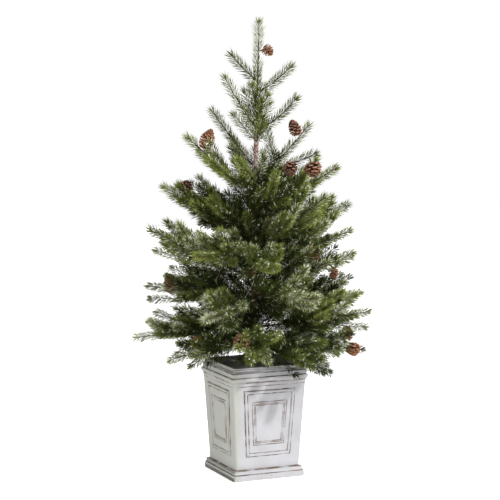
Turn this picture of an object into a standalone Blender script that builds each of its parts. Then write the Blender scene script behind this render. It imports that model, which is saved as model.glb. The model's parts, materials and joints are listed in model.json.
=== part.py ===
"""Artificial tabletop pine in a square planter.

A thin pole stands in the planter's filling.  Branches leave it all the way up: the long lower
ones are a bare bough with a mass of twigs on its end, and the short upper ones are a mass whose
stem starts at the pole.  Each mass is one stem with side twigs, all slim three-sided cores that
needles stand out of, and some carry pine cones.  Each mass keeps to the space that is nearer to
its own branch than to any other.

Units are metres, +Z is up.  The origin is the middle of the planter's flat underside, and the
planter's faces are square to X and Y.  Headings are degrees from +X, turning towards +Y.
"""
import math
import random
from collections import namedtuple

import bmesh
import bpy
import numpy as np
from mathutils import Matrix, Vector

COLLECTION_NAME = "potted_pine"
GAP = 0.0003                     # clearance between pieces that touch
MERGE = 0.00001                  # points closer than this are one

# Planter: half widths and heights of its square section
POT_HEIGHT = 0.3035
PLINTH_HALF = 0.1024
PLINTH_HEIGHT = 0.0285
BODY_FOOT_HALF = 0.0916
BODY_HEAD_HALF = 0.1056
BODY_HEAD_HEIGHT = 0.264
CORNICE_HALF = 0.1106
LIP_HALF = 0.1003
RIM_THICK = 0.006
POT_FLOOR = 0.012
CAVITY_FLOOR_HALF = 0.080
FILLING_DEPTH = 0.034            # from the rim down to the filling

# Raised frames on the planter's four sides: size at mid height, centre height and corner radius
FRAME_PROUD = 0.0025
FRAME_SUNK = 0.003
OUTER_FRAME = {"width": 0.136, "height": 0.178, "band": 0.008, "radius": 0.012}
INNER_FRAME = {"width": 0.093, "height": 0.116, "band": 0.008, "radius": 0.0}
FRAME_CENTRE_HEIGHT = 0.153

# Pole
TREE_HEIGHT = 1.22
TRUNK_TOP = 1.075
TRUNK_FOOT_RADIUS = 0.0075
TRUNK_SHOULDER = 0.914           # where the tube ends and the thinner rod of the leader goes on
TRUNK_SHOULDER_RADIUS = 0.0062
SHOULDER_LENGTH = 0.010
ROD_RADIUS = 0.0030
TRUNK_TOP_RADIUS = 0.0025
TRUNK_LEAN = (0.0092, -0.0040)   # how far the top stands off the foot, along X and Y
TRUNK_SIDES = 20
TRUNK_RINGS = 5
LINE_POINTS = 120                # points that stand for a line when distances are measured
UP = Vector((0.0, 0.0, 1.0))

# Branches
BOUGH_FOOT_RADIUS = 0.0040
BOUGH_TIP_RADIUS = 0.0028
BOUGH_SIDES = 6
BOUGH_RINGS = 4
STEM_RADIUS = 0.0034
TWIG_RADIUS = 0.0028
TIP_RADIUS = 0.0018
STATION = 0.0300                 # length of core that one set of three needles takes
STATION_TWIST = math.radians(40.0)

# Needles, and how twigs leave their stem
NEEDLE_OUT = 0.0190
NEEDLE_FORWARD = 0.0180
NEEDLE_SIZES = (1.0, 0.8, 0.6, 0.4, 0.25)   # a needle takes the longest of these that has room
TWIG_ANGLE = math.radians(34.0)
TWIG_CURL = 0.08                 # how strongly each station turns back towards the stem's way
TWIG_LIFT = 0.10                 # and how strongly it turns upwards
TWIG_SPACING = 0.0185            # along the stem, from one twig to the next
TWIG_SHARE = 0.50                # a twig's length as a share of the stem beyond it
TWIG_LEAST = 0.030
TWIG_MOST = 0.120
TIP_ALONE = 0.120                # the outer end of a stem, which bears no twigs
TWIGGED_BELOW = 0.765            # stems that leave the pole higher up are single brushes
CELL_MARGIN = 0.0045             # kept from the middle line between two branches, each side
LIMB_MARGIN = 0.0030             # kept from the pole and the boughs
TWIG_ROLLS = (12.0, 155.0, 62.0, -28.0, 118.0, 205.0)   # round the stem, 0 and 180 are level
SEED = 7

# Cones
CONE_SIDES = 6
CONE_LEVELS = 6
CONE_SCALE_DEPTH = 0.20
CONE_TAPER = 0.22                # how much slimmer its tip is, and fuller its foot
CONE_UPRIGHT = 0.9               # how strongly it stands or hangs straight from its slanting wire

# A branch: the height where it leaves the pole, its heading, how far out and how far up its
# tip lies from there, how far it sags below the straight line, and the share that is bare bough.
Branch = namedtuple("Branch", "name height heading reach rise sag bare")
BRANCHES = [
    Branch("top_left", 1.050, 152, 0.078, 0.080, 0.001, 0.0),
    Branch("top_right", 1.025, 342, 0.098, 0.077, 0.009, 0.0),
    Branch("upper_left_high", 0.927, 166, 0.090, 0.147, 0.006, 0.0),
    Branch("upper_right_high", 0.927, 327, 0.116, 0.095, 0.016, 0.0),
    Branch("upper_front", 0.890, 256, 0.120, 0.082, 0.003, 0.0),
    Branch("upper_back", 0.900, 62, 0.120, 0.092, 0.003, 0.0),
    Branch("upper_left", 0.820, 142, 0.127, 0.162, 0.002, 0.0),
    Branch("upper_right", 0.775, 352, 0.156, 0.168, 0.002, 0.0),
    Branch("middle_back_high", 0.800, 92, 0.160, 0.102, 0.003, 0.0),
    Branch("middle_left_high", 0.750, 172, 0.195, 0.166, 0.002, 0.0),
    Branch("middle_right_high", 0.800, 320, 0.175, 0.068, 0.002, 0.0),
    Branch("middle_front_high", 0.780, 228, 0.165, 0.083, 0.003, 0.0),
    Branch("middle_front_right", 0.710, 275, 0.205, 0.078, 0.003, 0.0),
    Branch("middle_back_right", 0.700, 48, 0.210, 0.103, 0.003, 0.0),
    Branch("middle_left", 0.650, 148, 0.257, 0.125, 0.004, 0.0),
    Branch("middle_right_inner", 0.690, 343, 0.228, 0.138, 0.003, 0.0),
    Branch("middle_back", 0.650, 104, 0.235, 0.068, 0.004, 0.0),
    Branch("middle_right_front", 0.615, 303, 0.230, 0.148, 0.003, 0.0),
    Branch("middle_front_left", 0.590, 202, 0.235, 0.018, 0.003, 0.0),
    Branch("middle_right", 0.585, 2, 0.292, 0.134, 0.004, 0.18),
    Branch("low_left_high", 0.525, 174, 0.297, 0.148, 0.004, 0.18),
    Branch("middle_right_low", 0.555, 345, 0.272, 0.102, 0.004, 0.0),
    Branch("low_right_high", 0.515, 330, 0.276, 0.090, 0.004, 0.18),
    Branch("low_back_high", 0.555, 70, 0.270, 0.058, 0.004, 0.18),
    Branch("low_front_high", 0.565, 252, 0.260, 0.033, 0.004, 0.18),
    Branch("low_left", 0.490, 150, 0.300, 0.012, 0.004, 0.18),
    Branch("low_front_right", 0.485, 285, 0.280, 0.018, 0.004, 0.18),
    Branch("low_right", 0.450, 350, 0.310, 0.032, 0.004, 0.18),
    Branch("low_back_left", 0.475, 122, 0.290, 0.008, 0.004, 0.18),
    Branch("low_back_right", 0.440, 40, 0.300, 0.028, 0.004, 0.18),
    Branch("low_front_left", 0.470, 218, 0.280, -0.022, 0.003, 0.18),
    Branch("foot_left", 0.410, 170, 0.334, -0.032, 0.002, 0.18),
    Branch("foot_right", 0.395, 322, 0.322, 0.056, 0.003, 0.18),
    Branch("foot_back", 0.390, 88, 0.280, -0.027, 0.002, 0.18),
    Branch("foot_front", 0.385, 244, 0.270, -0.042, 0.000, 0.18),
    Branch("foot_left_front", 0.365, 190, 0.275, -0.037, -0.004, 0.18),
    Branch("foot_right_side", 0.360, 346, 0.310, -0.037, -0.004, 0.18),
    Branch("foot_right_front", 0.355, 296, 0.270, -0.057, -0.008, 0.18),
]
LEADER = "leader"

# Cones: the branch each is wired to, the share of its stem, the way it leans from there (degrees
# round the stem, 0 is up and 90 is left of it), how far off its middle is, its width and length.
Cone = namedtuple("Cone", "branch share turn off width length")
CONES = [
    Cone(LEADER, 0.46, 180, 0.026, 0.029, 0.032),
    Cone("upper_right", 0.88, 353, 0.029, 0.032, 0.048),
    Cone("middle_left_high", 0.84, 11, 0.034, 0.037, 0.060),
    Cone("middle_right_high", 0.58, 229, 0.021, 0.037, 0.038),
    Cone("middle_right_high", 0.92, 190, 0.037, 0.044, 0.037),
    Cone("middle_left", 0.82, 12, 0.031, 0.037, 0.037),
    Cone("low_right_high", 0.58, 349, 0.035, 0.032, 0.040),
    Cone("low_right_high", 0.73, 201, 0.036, 0.028, 0.030),
    Cone("low_left", 0.75, 45, 0.027, 0.037, 0.057),
    Cone("low_front_high", 0.20, 190, 0.020, 0.024, 0.032),
    Cone("foot_front", 0.55, 315, 0.037, 0.042, 0.036),
    Cone("foot_right_side", 0.81, 352, 0.041, 0.037, 0.037),
    Cone("foot_right_side", 0.91, 260, 0.013, 0.037, 0.035),
    Cone("foot_left_front", 0.64, 9, 0.028, 0.032, 0.032),
    Cone("low_back_high", 0.73, 346, 0.030, 0.030, 0.044),
    Cone("middle_back_right", 0.75, 19, 0.025, 0.037, 0.038),
    Cone("middle_back", 0.79, 345, 0.027, 0.034, 0.052),
    Cone("low_back_right", 0.69, 14, 0.024, 0.037, 0.040),
    Cone("low_back_left", 0.74, 350, 0.026, 0.038, 0.036),
    Cone("foot_back", 0.59, 8, 0.025, 0.040, 0.038),
]

# Materials: colour, roughness, metallic
MATERIALS = {
    "whitewash": ((0.70, 0.69, 0.68), 0.75, 0.0),
    "dark_filling": ((0.02, 0.02, 0.018), 0.95, 0.0),
    "bark": ((0.10, 0.055, 0.04), 0.85, 0.0),
    "needles": ((0.07, 0.12, 0.035), 0.7, 0.0),
}


# ---------------------------------------------------------------- scene and materials

def clear_scene():
    for thing in list(bpy.data.objects):
        bpy.data.objects.remove(thing, do_unlink=True)


def new_collection(name):
    collection = bpy.data.collections.new(name)
    bpy.context.scene.collection.children.link(collection)
    return collection


def new_material(name):
    colour, roughness, metallic = MATERIALS[name]
    material = bpy.data.materials.new(name)
    material.use_nodes = True
    shader = material.node_tree.nodes["Principled BSDF"]
    shader.inputs["Base Color"].default_value = (*colour, 1.0)
    shader.inputs["Roughness"].default_value = roughness
    shader.inputs["Metallic"].default_value = metallic
    material.diffuse_color = (*colour, 1.0)
    return material


def add_object(name, mesh, collection, material=None):
    thing = bpy.data.objects.new(name, mesh)
    collection.objects.link(thing)
    if material:
        mesh.materials.clear()
        mesh.materials.append(material)
    return thing


def mesh_from(bm, name):
    bmesh.ops.recalc_face_normals(bm, faces=bm.faces)
    mesh = bpy.data.meshes.new(name)
    bm.to_mesh(mesh)
    bm.free()
    return mesh


def keep_outer_skin(mesh):
    """Fill the hollows that joining sealed and drop loose scraps: only the widest skin stays."""
    bm = bmesh.new()
    bm.from_mesh(mesh)
    bmesh.ops.triangulate(bm, faces=bm.faces)
    waiting = set(bm.faces)
    skins = []
    while waiting:
        front = [waiting.pop()]
        skin = list(front)
        while front:
            face = front.pop()
            for edge in face.edges:
                if len(edge.link_faces) != 2:
                    continue
                for neighbour in edge.link_faces:
                    if neighbour in waiting:
                        waiting.remove(neighbour)
                        skin.append(neighbour)
                        front.append(neighbour)
        skins.append(skin)
    skins.sort(key=len)
    for skin in skins[:-1]:
        bmesh.ops.delete(bm, geom=skin, context="FACES")
    bm.to_mesh(mesh)
    bm.free()


def joined(name, base, pieces, material):
    """One solid: base united with all the pieces, which are then removed."""
    helpers = new_collection(name + "_pieces")
    for piece in pieces:
        for owner in list(piece.users_collection):
            owner.objects.unlink(piece)
        helpers.objects.link(piece)
        piece.hide_render = True
        piece.display_type = "WIRE"
    if pieces:
        union = base.modifiers.new("join", "BOOLEAN")
        union.operation = "UNION"
        union.operand_type = "COLLECTION"
        union.collection = helpers
        union.solver = "EXACT"
        graph = bpy.context.evaluated_depsgraph_get()
        mesh = bpy.data.meshes.new_from_object(base.evaluated_get(graph))
        base.modifiers.clear()
        keep_outer_skin(mesh)
        base.data = mesh
    for piece in pieces:
        bpy.data.objects.remove(piece, do_unlink=True)
    bpy.data.collections.remove(helpers)
    base.name = name
    base.data.name = name
    base.data.materials.clear()
    base.data.materials.append(material)
    return base


# ---------------------------------------------------------------- planter

def square_turned(name, profile, collection):
    """A square solid: a profile of half widths and heights, turned round Z in four steps."""
    mesh = bpy.data.meshes.new(name)
    corner = math.sqrt(2.0)
    points = [(half * corner, 0.0, height) for half, height in profile]
    edges = [(i, i + 1) for i in range(len(points) - 1)]
    mesh.from_pydata(points, edges, [])
    thing = add_object(name, mesh, collection)
    screw = thing.modifiers.new("turn", "SCREW")
    screw.steps = 4
    screw.render_steps = 4
    screw.use_merge_vertices = True
    screw.merge_threshold = 0.0001
    graph = bpy.context.evaluated_depsgraph_get()
    solid = bpy.data.meshes.new_from_object(thing.evaluated_get(graph))
    thing.modifiers.clear()
    solid.transform(Matrix.Rotation(math.radians(45.0), 4, "Z"))
    thing.data = solid
    return thing


def wall_half(height):
    """Half width of the planter's body at a height."""
    share = (height - PLINTH_HEIGHT) / (BODY_HEAD_HEIGHT - PLINTH_HEIGHT)
    return BODY_FOOT_HALF + share * (BODY_HEAD_HALF - BODY_FOOT_HALF)


def cavity_half(height):
    """Half width of the planter's inside at a height."""
    rim = LIP_HALF - RIM_THICK
    share = (height - POT_FLOOR) / (POT_HEIGHT - POT_FLOOR)
    return CAVITY_FLOOR_HALF + share * (rim - CAVITY_FLOOR_HALF)


def pot_profile():
    """The planter's section, from the middle of its floor up the inside and down the outside."""
    return [
        (0.0, POT_FLOOR),
        (CAVITY_FLOOR_HALF, POT_FLOOR),
        (cavity_half(POT_HEIGHT), POT_HEIGHT),
        (LIP_HALF, POT_HEIGHT),
        (LIP_HALF, POT_HEIGHT - 0.0025),
        (LIP_HALF + 0.0035, POT_HEIGHT - 0.0105),
        (LIP_HALF + 0.0058, POT_HEIGHT - 0.0130),
        (LIP_HALF + 0.0064, POT_HEIGHT - 0.0235),
        (CORNICE_HALF - 0.0014, POT_HEIGHT - 0.0250),
        (CORNICE_HALF, POT_HEIGHT - 0.0325),
        (CORNICE_HALF - 0.0016, POT_HEIGHT - 0.0350),
        (BODY_HEAD_HALF, BODY_HEAD_HEIGHT),
        (BODY_FOOT_HALF, PLINTH_HEIGHT),
        (PLINTH_HALF - 0.0036, PLINTH_HEIGHT - 0.0018),
        (PLINTH_HALF - 0.0018, PLINTH_HEIGHT - 0.0110),
        (PLINTH_HALF - 0.0006, PLINTH_HEIGHT - 0.0130),
        (PLINTH_HALF, 0.0095),
        (PLINTH_HALF - 0.0017, 0.0),
        (0.0, 0.0),
    ]


def frame_outline(width, height, radius, inset):
    """Corners of a frame on the sloping wall, narrower at the foot like the wall itself."""
    slope = (BODY_HEAD_HALF - BODY_FOOT_HALF) / (BODY_HEAD_HEIGHT - PLINTH_HEIGHT)
    points = []
    round_radius = max(radius - inset, 0.0)
    steps = 4 if round_radius else 1
    for turn, (sx, sy) in enumerate([(1, 1), (-1, 1), (-1, -1), (1, -1)]):
        half_height = height / 2 - inset
        half_width = width / 2 - inset + sy * half_height * slope
        for step in range(steps):
            angle = math.radians(90.0 * (turn + (step / (steps - 1) if steps > 1 else 0.0)))
            points.append((
                sx * (half_width - round_radius) + round_radius * math.cos(angle),
                sy * (half_height - round_radius) + round_radius * math.sin(angle),
            ))
    return points


def frame_ring(name, size, collection):
    """A flat raised ring, as thick as it stands proud and is sunk, lying in XY."""
    curve = bpy.data.curves.new(name, "CURVE")
    curve.dimensions = "2D"
    curve.fill_mode = "BOTH"
    curve.extrude = (FRAME_PROUD + FRAME_SUNK) / 2
    for inset in (0.0, size["band"]):
        outline = frame_outline(size["width"], size["height"], size["radius"], inset)
        spline = curve.splines.new("POLY")
        spline.points.add(len(outline) - 1)
        for point, (x, y) in zip(spline.points, outline):
            point.co = (x, y, 0.0, 1.0)
        spline.use_cyclic_u = True
    thing = bpy.data.objects.new(name, curve)
    collection.objects.link(thing)
    graph = bpy.context.evaluated_depsgraph_get()
    mesh = bpy.data.meshes.new_from_object(thing.evaluated_get(graph))
    bpy.data.objects.remove(thing, do_unlink=True)
    bm = bmesh.new()
    bm.from_mesh(mesh)
    bmesh.ops.remove_doubles(bm, verts=bm.verts, dist=MERGE)
    bpy.data.meshes.remove(mesh)
    return mesh_from(bm, name)


def make_pot(collection):
    pot = square_turned("pot", pot_profile(), collection)
    tilt = math.atan2(BODY_HEAD_HALF - BODY_FOOT_HALF, BODY_HEAD_HEIGHT - PLINTH_HEIGHT)
    rings = []
    for side in range(4):
        for label, size in (("outer", OUTER_FRAME), ("inner", INNER_FRAME)):
            mesh = frame_ring(f"{label}_{side}", size, collection)
            out = wall_half(FRAME_CENTRE_HEIGHT) + (FRAME_PROUD - FRAME_SUNK) / 2
            place = (
                Matrix.Rotation(math.radians(90.0 * side), 4, "Z")
                @ Matrix.Translation((0.0, -out, FRAME_CENTRE_HEIGHT))
                @ Matrix.Rotation(math.radians(90.0) + tilt, 4, "X")
            )
            mesh.transform(place)
            rings.append(add_object(f"{label}_frame_{side}", mesh, collection))
    return joined("pot", pot, rings, new_material("whitewash"))


def make_filling(collection):
    top = POT_HEIGHT - FILLING_DEPTH
    floor = POT_FLOOR + GAP
    filling = square_turned("pot_filling", [
        (0.0, top),
        (cavity_half(top) - GAP, top),
        (cavity_half(floor) - GAP, floor),
        (0.0, floor),
    ], collection)
    filling.data.materials.append(new_material("dark_filling"))
    return filling


# ---------------------------------------------------------------- limbs

def spread(first, last, count):
    """Values from first to last in equal steps, both ends included."""
    return [first + (last - first) * step / count for step in range(count + 1)]


TRUNK_FOOT = POT_HEIGHT - FILLING_DEPTH + GAP


def trunk_point(height):
    """Middle of the pole at a height: upright at the foot and leaning more towards the top."""
    share = (height - TRUNK_FOOT) / (TRUNK_TOP - TRUNK_FOOT)
    return Vector((TRUNK_LEAN[0] * share ** 2, TRUNK_LEAN[1] * share ** 2, height))


def trunk_radius(height):
    """The tube tapers slightly, steps in at its shoulder, and the rod above it tapers again."""
    if height < TRUNK_SHOULDER:
        share = (height - TRUNK_FOOT) / (TRUNK_SHOULDER - TRUNK_FOOT)
        return TRUNK_FOOT_RADIUS + share * (TRUNK_SHOULDER_RADIUS - TRUNK_FOOT_RADIUS)
    share = (height - TRUNK_SHOULDER) / (TRUNK_TOP - TRUNK_SHOULDER)
    rod = ROD_RADIUS + share * (TRUNK_TOP_RADIUS - ROD_RADIUS)
    step = min(1.0, (height - TRUNK_SHOULDER) / SHOULDER_LENGTH)
    return TRUNK_SHOULDER_RADIUS + step * (rod - TRUNK_SHOULDER_RADIUS)


def cross_frame(direction):
    """Two unit vectors square to a direction: one level, and one upwards."""
    side = Vector((-direction.y, direction.x, 0.0))
    if side.length < 0.001:
        side = Vector((0.0, 1.0, 0.0))
    side.normalize()
    return side, direction.cross(side)


def loft(bm, points, radii, sides, twist=0.0):
    """A limb through the points, with flat ends.  Returns its rings of side faces."""
    rings = []
    for index, (point, radius) in enumerate(zip(points, radii)):
        before = points[max(index - 1, 0)]
        after = points[min(index + 1, len(points) - 1)]
        side, up = cross_frame((after - before).normalized())
        ring = []
        for corner in range(sides):
            angle = math.tau * corner / sides + twist * index
            ring.append(bm.verts.new(point + radius * (math.cos(angle) * up + math.sin(angle) * side)))
        rings.append(ring)
    bands = []
    for lower, upper in zip(rings, rings[1:]):
        band = []
        for corner in range(sides):
            after = (corner + 1) % sides
            band.append(bm.faces.new((lower[corner], lower[after], upper[after], upper[corner])))
        bands.append(band)
    bm.faces.new(reversed(rings[0]))
    tip = bm.faces.new(rings[-1])
    return bands, tip


def make_limb(name, points, radii, sides, collection, material):
    bm = bmesh.new()
    loft(bm, points, radii, sides)
    limb = add_object(name, mesh_from(bm, name), collection, material)
    limb.data.shade_smooth()
    limb.data.set_sharp_from_angle(angle=math.radians(50.0))
    return limb


class Route:
    """A line that sags between its two ends, which a branch follows from the pole to its tip."""

    def __init__(self, foot, tip, sag):
        self.foot = foot
        self.tip = tip
        self.sag = sag
        self.length = (tip - foot).length

    def point(self, share):
        point = self.foot.lerp(self.tip, share)
        point.z -= 4.0 * self.sag * share * (1.0 - share)
        return point

    def direction(self, share):
        return (self.point(share + 0.01) - self.point(share - 0.01)).normalized()

    def stretch(self, first, last, count):
        return [self.point(share) for share in spread(first, last, count)]


def branch_route(branch):
    heading = math.radians(branch.heading)
    out = Vector((math.cos(heading), math.sin(heading), 0.0))
    foot = trunk_point(branch.height)
    return Route(foot, foot + branch.reach * out + Vector((0.0, 0.0, branch.rise)), branch.sag)


def branch_start(branch, route):
    """Share of the route at which the branch's flat end just clears the pole."""
    foot_radius = BOUGH_FOOT_RADIUS if branch.bare else STEM_RADIUS
    clear = trunk_radius(branch.height) + GAP + foot_radius * abs(route.direction(0.05).z)
    return clear / branch.reach


def leader_route():
    top = trunk_point(TRUNK_TOP)
    lean = (top - trunk_point(TRUNK_TOP - 0.05)).normalized()
    tip = top + lean * (TREE_HEIGHT - TRUNK_TOP) / lean.z
    return Route(top, tip, 0.0)


# ---------------------------------------------------------------- masses of needles

class Space:
    """The room that each branch keeps to, and the limbs, cones and planter that nothing touches."""

    def __init__(self):
        self.lines = []
        self.line_owners = []
        self.balls = []
        self.ball_sizes = []
        self.ball_owners = []

    def add_line(self, owner, points):
        self.lines.extend(points)
        self.line_owners.extend([owner] * len(points))

    def add_ball(self, owner, centre, size):
        self.balls.append(centre)
        self.ball_sizes.append(size)
        self.ball_owners.append(owner)

    def settle(self):
        self.lines = np.array(self.lines)
        self.line_owners = np.array(self.line_owners)
        self.balls = np.array(self.balls)
        self.ball_sizes = np.array(self.ball_sizes)
        self.ball_owners = np.array(self.ball_owners)

    def is_free(self, owner, point, margin):
        """Whether a point stays in its branch's room by a margin, clear of limbs and cones."""
        away = np.linalg.norm(self.lines - np.array(point), axis=1)
        mine = self.line_owners == owner
        if away[~mine].min() - away[mine].min() < 2.0 * margin:
            return False
        if point.z < POT_HEIGHT + margin and max(abs(point.x), abs(point.y)) < CORNICE_HALF + margin:
            return False
        clear = np.linalg.norm(self.balls - np.array(point), axis=1) - self.ball_sizes
        return clear[self.ball_owners != owner].min() > LIMB_MARGIN


def needled_core(owner, points, foot_radius, space, bare_stations=0):
    """A slim three-sided core with needles standing out of it, leaning to its tip."""
    bm = bmesh.new()
    radii = spread(foot_radius, TIP_RADIUS, len(points) - 1)
    bands, tip = loft(bm, points, radii, 3, STATION_TWIST)
    for index, band in enumerate(bands):
        along = (points[index + 1] - points[index]).normalized()
        middle = points[index].lerp(points[index + 1], 0.5)
        if index < bare_stations:
            continue
        for face in band:
            centre = face.calc_center_median()
            out = centre - middle
            out = (out - out.dot(along) * along).normalized()
            raise_needle(bm, face, centre, out * NEEDLE_OUT + along * NEEDLE_FORWARD, owner, space)
    along = (points[-1] - points[-2]).normalized()
    raise_needle(bm, tip, points[-1], along * NEEDLE_FORWARD, owner, space)
    return mesh_from(bm, owner)


def raise_needle(bm, face, centre, reach, owner, space):
    """Pull the middle of a face out to a needle's point, shorter where its room is short."""
    for size in NEEDLE_SIZES:
        point = centre + reach * size
        if space.is_free(owner, point, CELL_MARGIN):
            middle = bmesh.ops.poke(bm, faces=[face])["verts"][0]
            middle.co = point
            return


def side_twigs(owner, route, start, end, space, chance):
    """Lines of the twigs that leave a stem all round, shorter to its tip, which stays single."""
    twigs = []
    if route.foot.z > TWIGGED_BELOW:
        return twigs
    reach = route.length * (end - start)
    along = TWIG_SPACING
    roll = chance.randrange(len(TWIG_ROLLS))
    while along < reach - TIP_ALONE:
        share = start + along / route.length
        direction = route.direction(share)
        side, up = cross_frame(direction)
        turn = math.radians(TWIG_ROLLS[roll % len(TWIG_ROLLS)] + chance.uniform(-12.0, 12.0))
        aside = math.cos(turn) * side + math.sin(turn) * up
        angle = TWIG_ANGLE * chance.uniform(0.88, 1.12)
        heading = math.cos(angle) * direction + math.sin(angle) * aside
        length = TWIG_SHARE * (reach - along) + TWIG_LEAST
        length = min(length, TWIG_MOST) * chance.uniform(0.85, 1.1)
        stations = max(2, round(length / STATION))
        points = [route.point(share)]
        for _ in range(stations):
            heading = (heading + TWIG_CURL * direction + TWIG_LIFT * UP).normalized()
            point = points[-1] + heading * length / stations
            if not space.is_free(owner, point, CELL_MARGIN + TWIG_RADIUS):
                break
            points.append(point)
        if len(points) > 2:
            twigs.append(points)
        along += TWIG_SPACING * chance.uniform(0.85, 1.15)
        roll += 1
    return twigs


def cone_place(cone, route, start, end):
    """Where a cone's wire leaves the stem, the cone's middle, and the way its tip points."""
    share = start + cone.share * (end - start)
    side, up = cross_frame(route.direction(share))
    turn = math.radians(cone.turn)
    out = math.cos(turn) * up + math.sin(turn) * side
    root = route.point(share)
    upright = Vector((0.0, 0.0, math.copysign(CONE_UPRIGHT, out.z)))
    return root, root + out * cone.off, (out + upright).normalized()


def make_cone(cone, root, centre, axis):
    """A pine cone as an egg whose rings step in and out like rows of scales, and its wire."""
    bm = bmesh.new()
    bmesh.ops.create_uvsphere(bm, u_segments=CONE_SIDES, v_segments=CONE_LEVELS, radius=1.0)
    for vertex in bm.verts:
        level = round(math.acos(max(-1.0, min(1.0, vertex.co.z))) / math.pi * CONE_LEVELS)
        row = 1.0 if level % 2 else 1.0 - CONE_SCALE_DEPTH
        egg = 1.0 - CONE_TAPER * vertex.co.z
        vertex.co.x *= row * egg
        vertex.co.y *= row * egg
    bmesh.ops.scale(bm, vec=(cone.width / 2, cone.width / 2, cone.length / 2), verts=bm.verts)
    turn = axis.to_track_quat("Z", "Y").to_matrix().to_4x4()
    place = Matrix.Translation(centre) @ turn
    bmesh.ops.transform(bm, matrix=place, verts=bm.verts)
    egg = mesh_from(bm, "cone")
    bm = bmesh.new()
    loft(bm, [root, centre], [TIP_RADIUS, TIP_RADIUS], 3)
    return egg, mesh_from(bm, "wire")


def make_mass(name, owner, route, start, collection, space, material):
    """One solid of a branch's stem, side twigs, needles and cones."""
    chance = random.Random(f"{SEED} {owner}")
    end = 1.0 - NEEDLE_FORWARD / route.length
    stations = max(2, round(route.length * (end - start) / STATION))
    stem = needled_core(owner, route.stretch(start, end, stations), STEM_RADIUS, space)
    base = add_object(name, stem, collection)
    pieces = []
    twigs = side_twigs(owner, route, start, end, space, chance)
    for number, points in enumerate(twigs):
        mesh = needled_core(owner, points, TWIG_RADIUS, space, bare_stations=1)
        pieces.append(add_object(f"{name}_twig_{number}", mesh, collection))
    for number, cone in enumerate(cone for cone in CONES if cone.branch == owner):
        for mesh in make_cone(cone, *cone_place(cone, route, start, end)):
            pieces.append(add_object(f"{name}_cone_{number}", mesh, collection))
    return joined(name, base, pieces, material)


# ---------------------------------------------------------------- the whole tree

def make_tree(collection):
    bark = new_material("bark")
    needles = new_material("needles")
    space = Space()

    heights = spread(TRUNK_FOOT, TRUNK_SHOULDER, TRUNK_RINGS)
    heights += spread(TRUNK_SHOULDER + SHOULDER_LENGTH, TRUNK_TOP, 2)
    make_limb("trunk", [trunk_point(height) for height in heights],
              [trunk_radius(height) for height in heights], TRUNK_SIDES, collection, bark)
    for height in spread(TRUNK_FOOT, TRUNK_TOP, LINE_POINTS):
        space.add_ball("trunk", trunk_point(height), trunk_radius(height))

    grown = []
    for branch in BRANCHES:
        route = branch_route(branch)
        start = branch_start(branch, route)
        if branch.bare:
            points = route.stretch(start, branch.bare, BOUGH_RINGS)
            radii = spread(BOUGH_FOOT_RADIUS, BOUGH_TIP_RADIUS, BOUGH_RINGS)
            make_limb(f"bough_{branch.name}", points, radii, BOUGH_SIDES, collection, bark)
            for point in route.stretch(start, branch.bare, LINE_POINTS // 8):
                space.add_ball(f"bough_{branch.name}", point, BOUGH_FOOT_RADIUS)
            start = branch.bare + GAP / route.length
        grown.append((f"foliage_{branch.name}", branch.name, route, start))
    route = leader_route()
    grown.append(("foliage_leader", LEADER, route, GAP / route.length))

    for name, owner, route, start in grown:
        space.add_line(owner, route.stretch(start, 1.0, LINE_POINTS // 3))
        for cone in CONES:
            if cone.branch == owner:
                _, centre, axis = cone_place(cone, route, start, 1.0 - NEEDLE_FORWARD / route.length)
                for step in (-0.25, 0.0, 0.25):
                    space.add_ball(owner, centre + axis * step * cone.length, cone.width / 2)
    space.settle()
    for name, owner, route, start in grown:
        make_mass(name, owner, route, start, collection, space, needles)


def main():
    clear_scene()
    collection = new_collection(COLLECTION_NAME)
    make_pot(collection)
    make_filling(collection)
    make_tree(collection)


main()
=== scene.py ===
# %% [markdown]
# # A small artificial pine in a square planter
#
# The real thing is a wrapped steel pole standing in a cast planter, with wire branches that are
# covered all over in short plastic needles.  Some sprays are dusted with white flock, and small
# pine cones are wired on.  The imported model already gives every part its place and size.  This
# script gives the same parts their looks, in the same metres and round the same origin.

import json
import math
import random
from collections import namedtuple

import bmesh
import bpy
import numpy as np
from mathutils import Matrix, Vector

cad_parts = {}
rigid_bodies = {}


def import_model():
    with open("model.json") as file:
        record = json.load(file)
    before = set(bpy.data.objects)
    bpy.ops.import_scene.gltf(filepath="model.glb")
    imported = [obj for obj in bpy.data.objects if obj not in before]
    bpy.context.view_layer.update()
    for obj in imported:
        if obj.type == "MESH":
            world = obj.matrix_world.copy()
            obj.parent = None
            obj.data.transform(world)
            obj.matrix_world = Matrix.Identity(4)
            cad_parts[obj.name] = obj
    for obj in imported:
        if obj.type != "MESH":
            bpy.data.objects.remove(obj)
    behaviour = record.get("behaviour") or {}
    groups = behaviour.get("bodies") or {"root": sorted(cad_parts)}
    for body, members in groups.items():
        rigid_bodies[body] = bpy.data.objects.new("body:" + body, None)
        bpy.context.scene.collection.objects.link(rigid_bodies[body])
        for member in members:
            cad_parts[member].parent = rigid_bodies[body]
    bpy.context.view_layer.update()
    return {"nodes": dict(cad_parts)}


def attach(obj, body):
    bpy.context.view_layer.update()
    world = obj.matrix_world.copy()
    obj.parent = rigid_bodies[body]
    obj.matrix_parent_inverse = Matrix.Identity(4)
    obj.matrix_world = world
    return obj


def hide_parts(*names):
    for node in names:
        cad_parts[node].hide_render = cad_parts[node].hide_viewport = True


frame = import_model()
foliage_nodes = sorted(name for name in frame["nodes"] if name.startswith("foliage_"))
bough_nodes = sorted(name for name in frame["nodes"] if name.startswith("bough_"))
print(len(foliage_nodes), "masses of foliage and", len(bough_nodes), "bare boughs")

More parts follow.
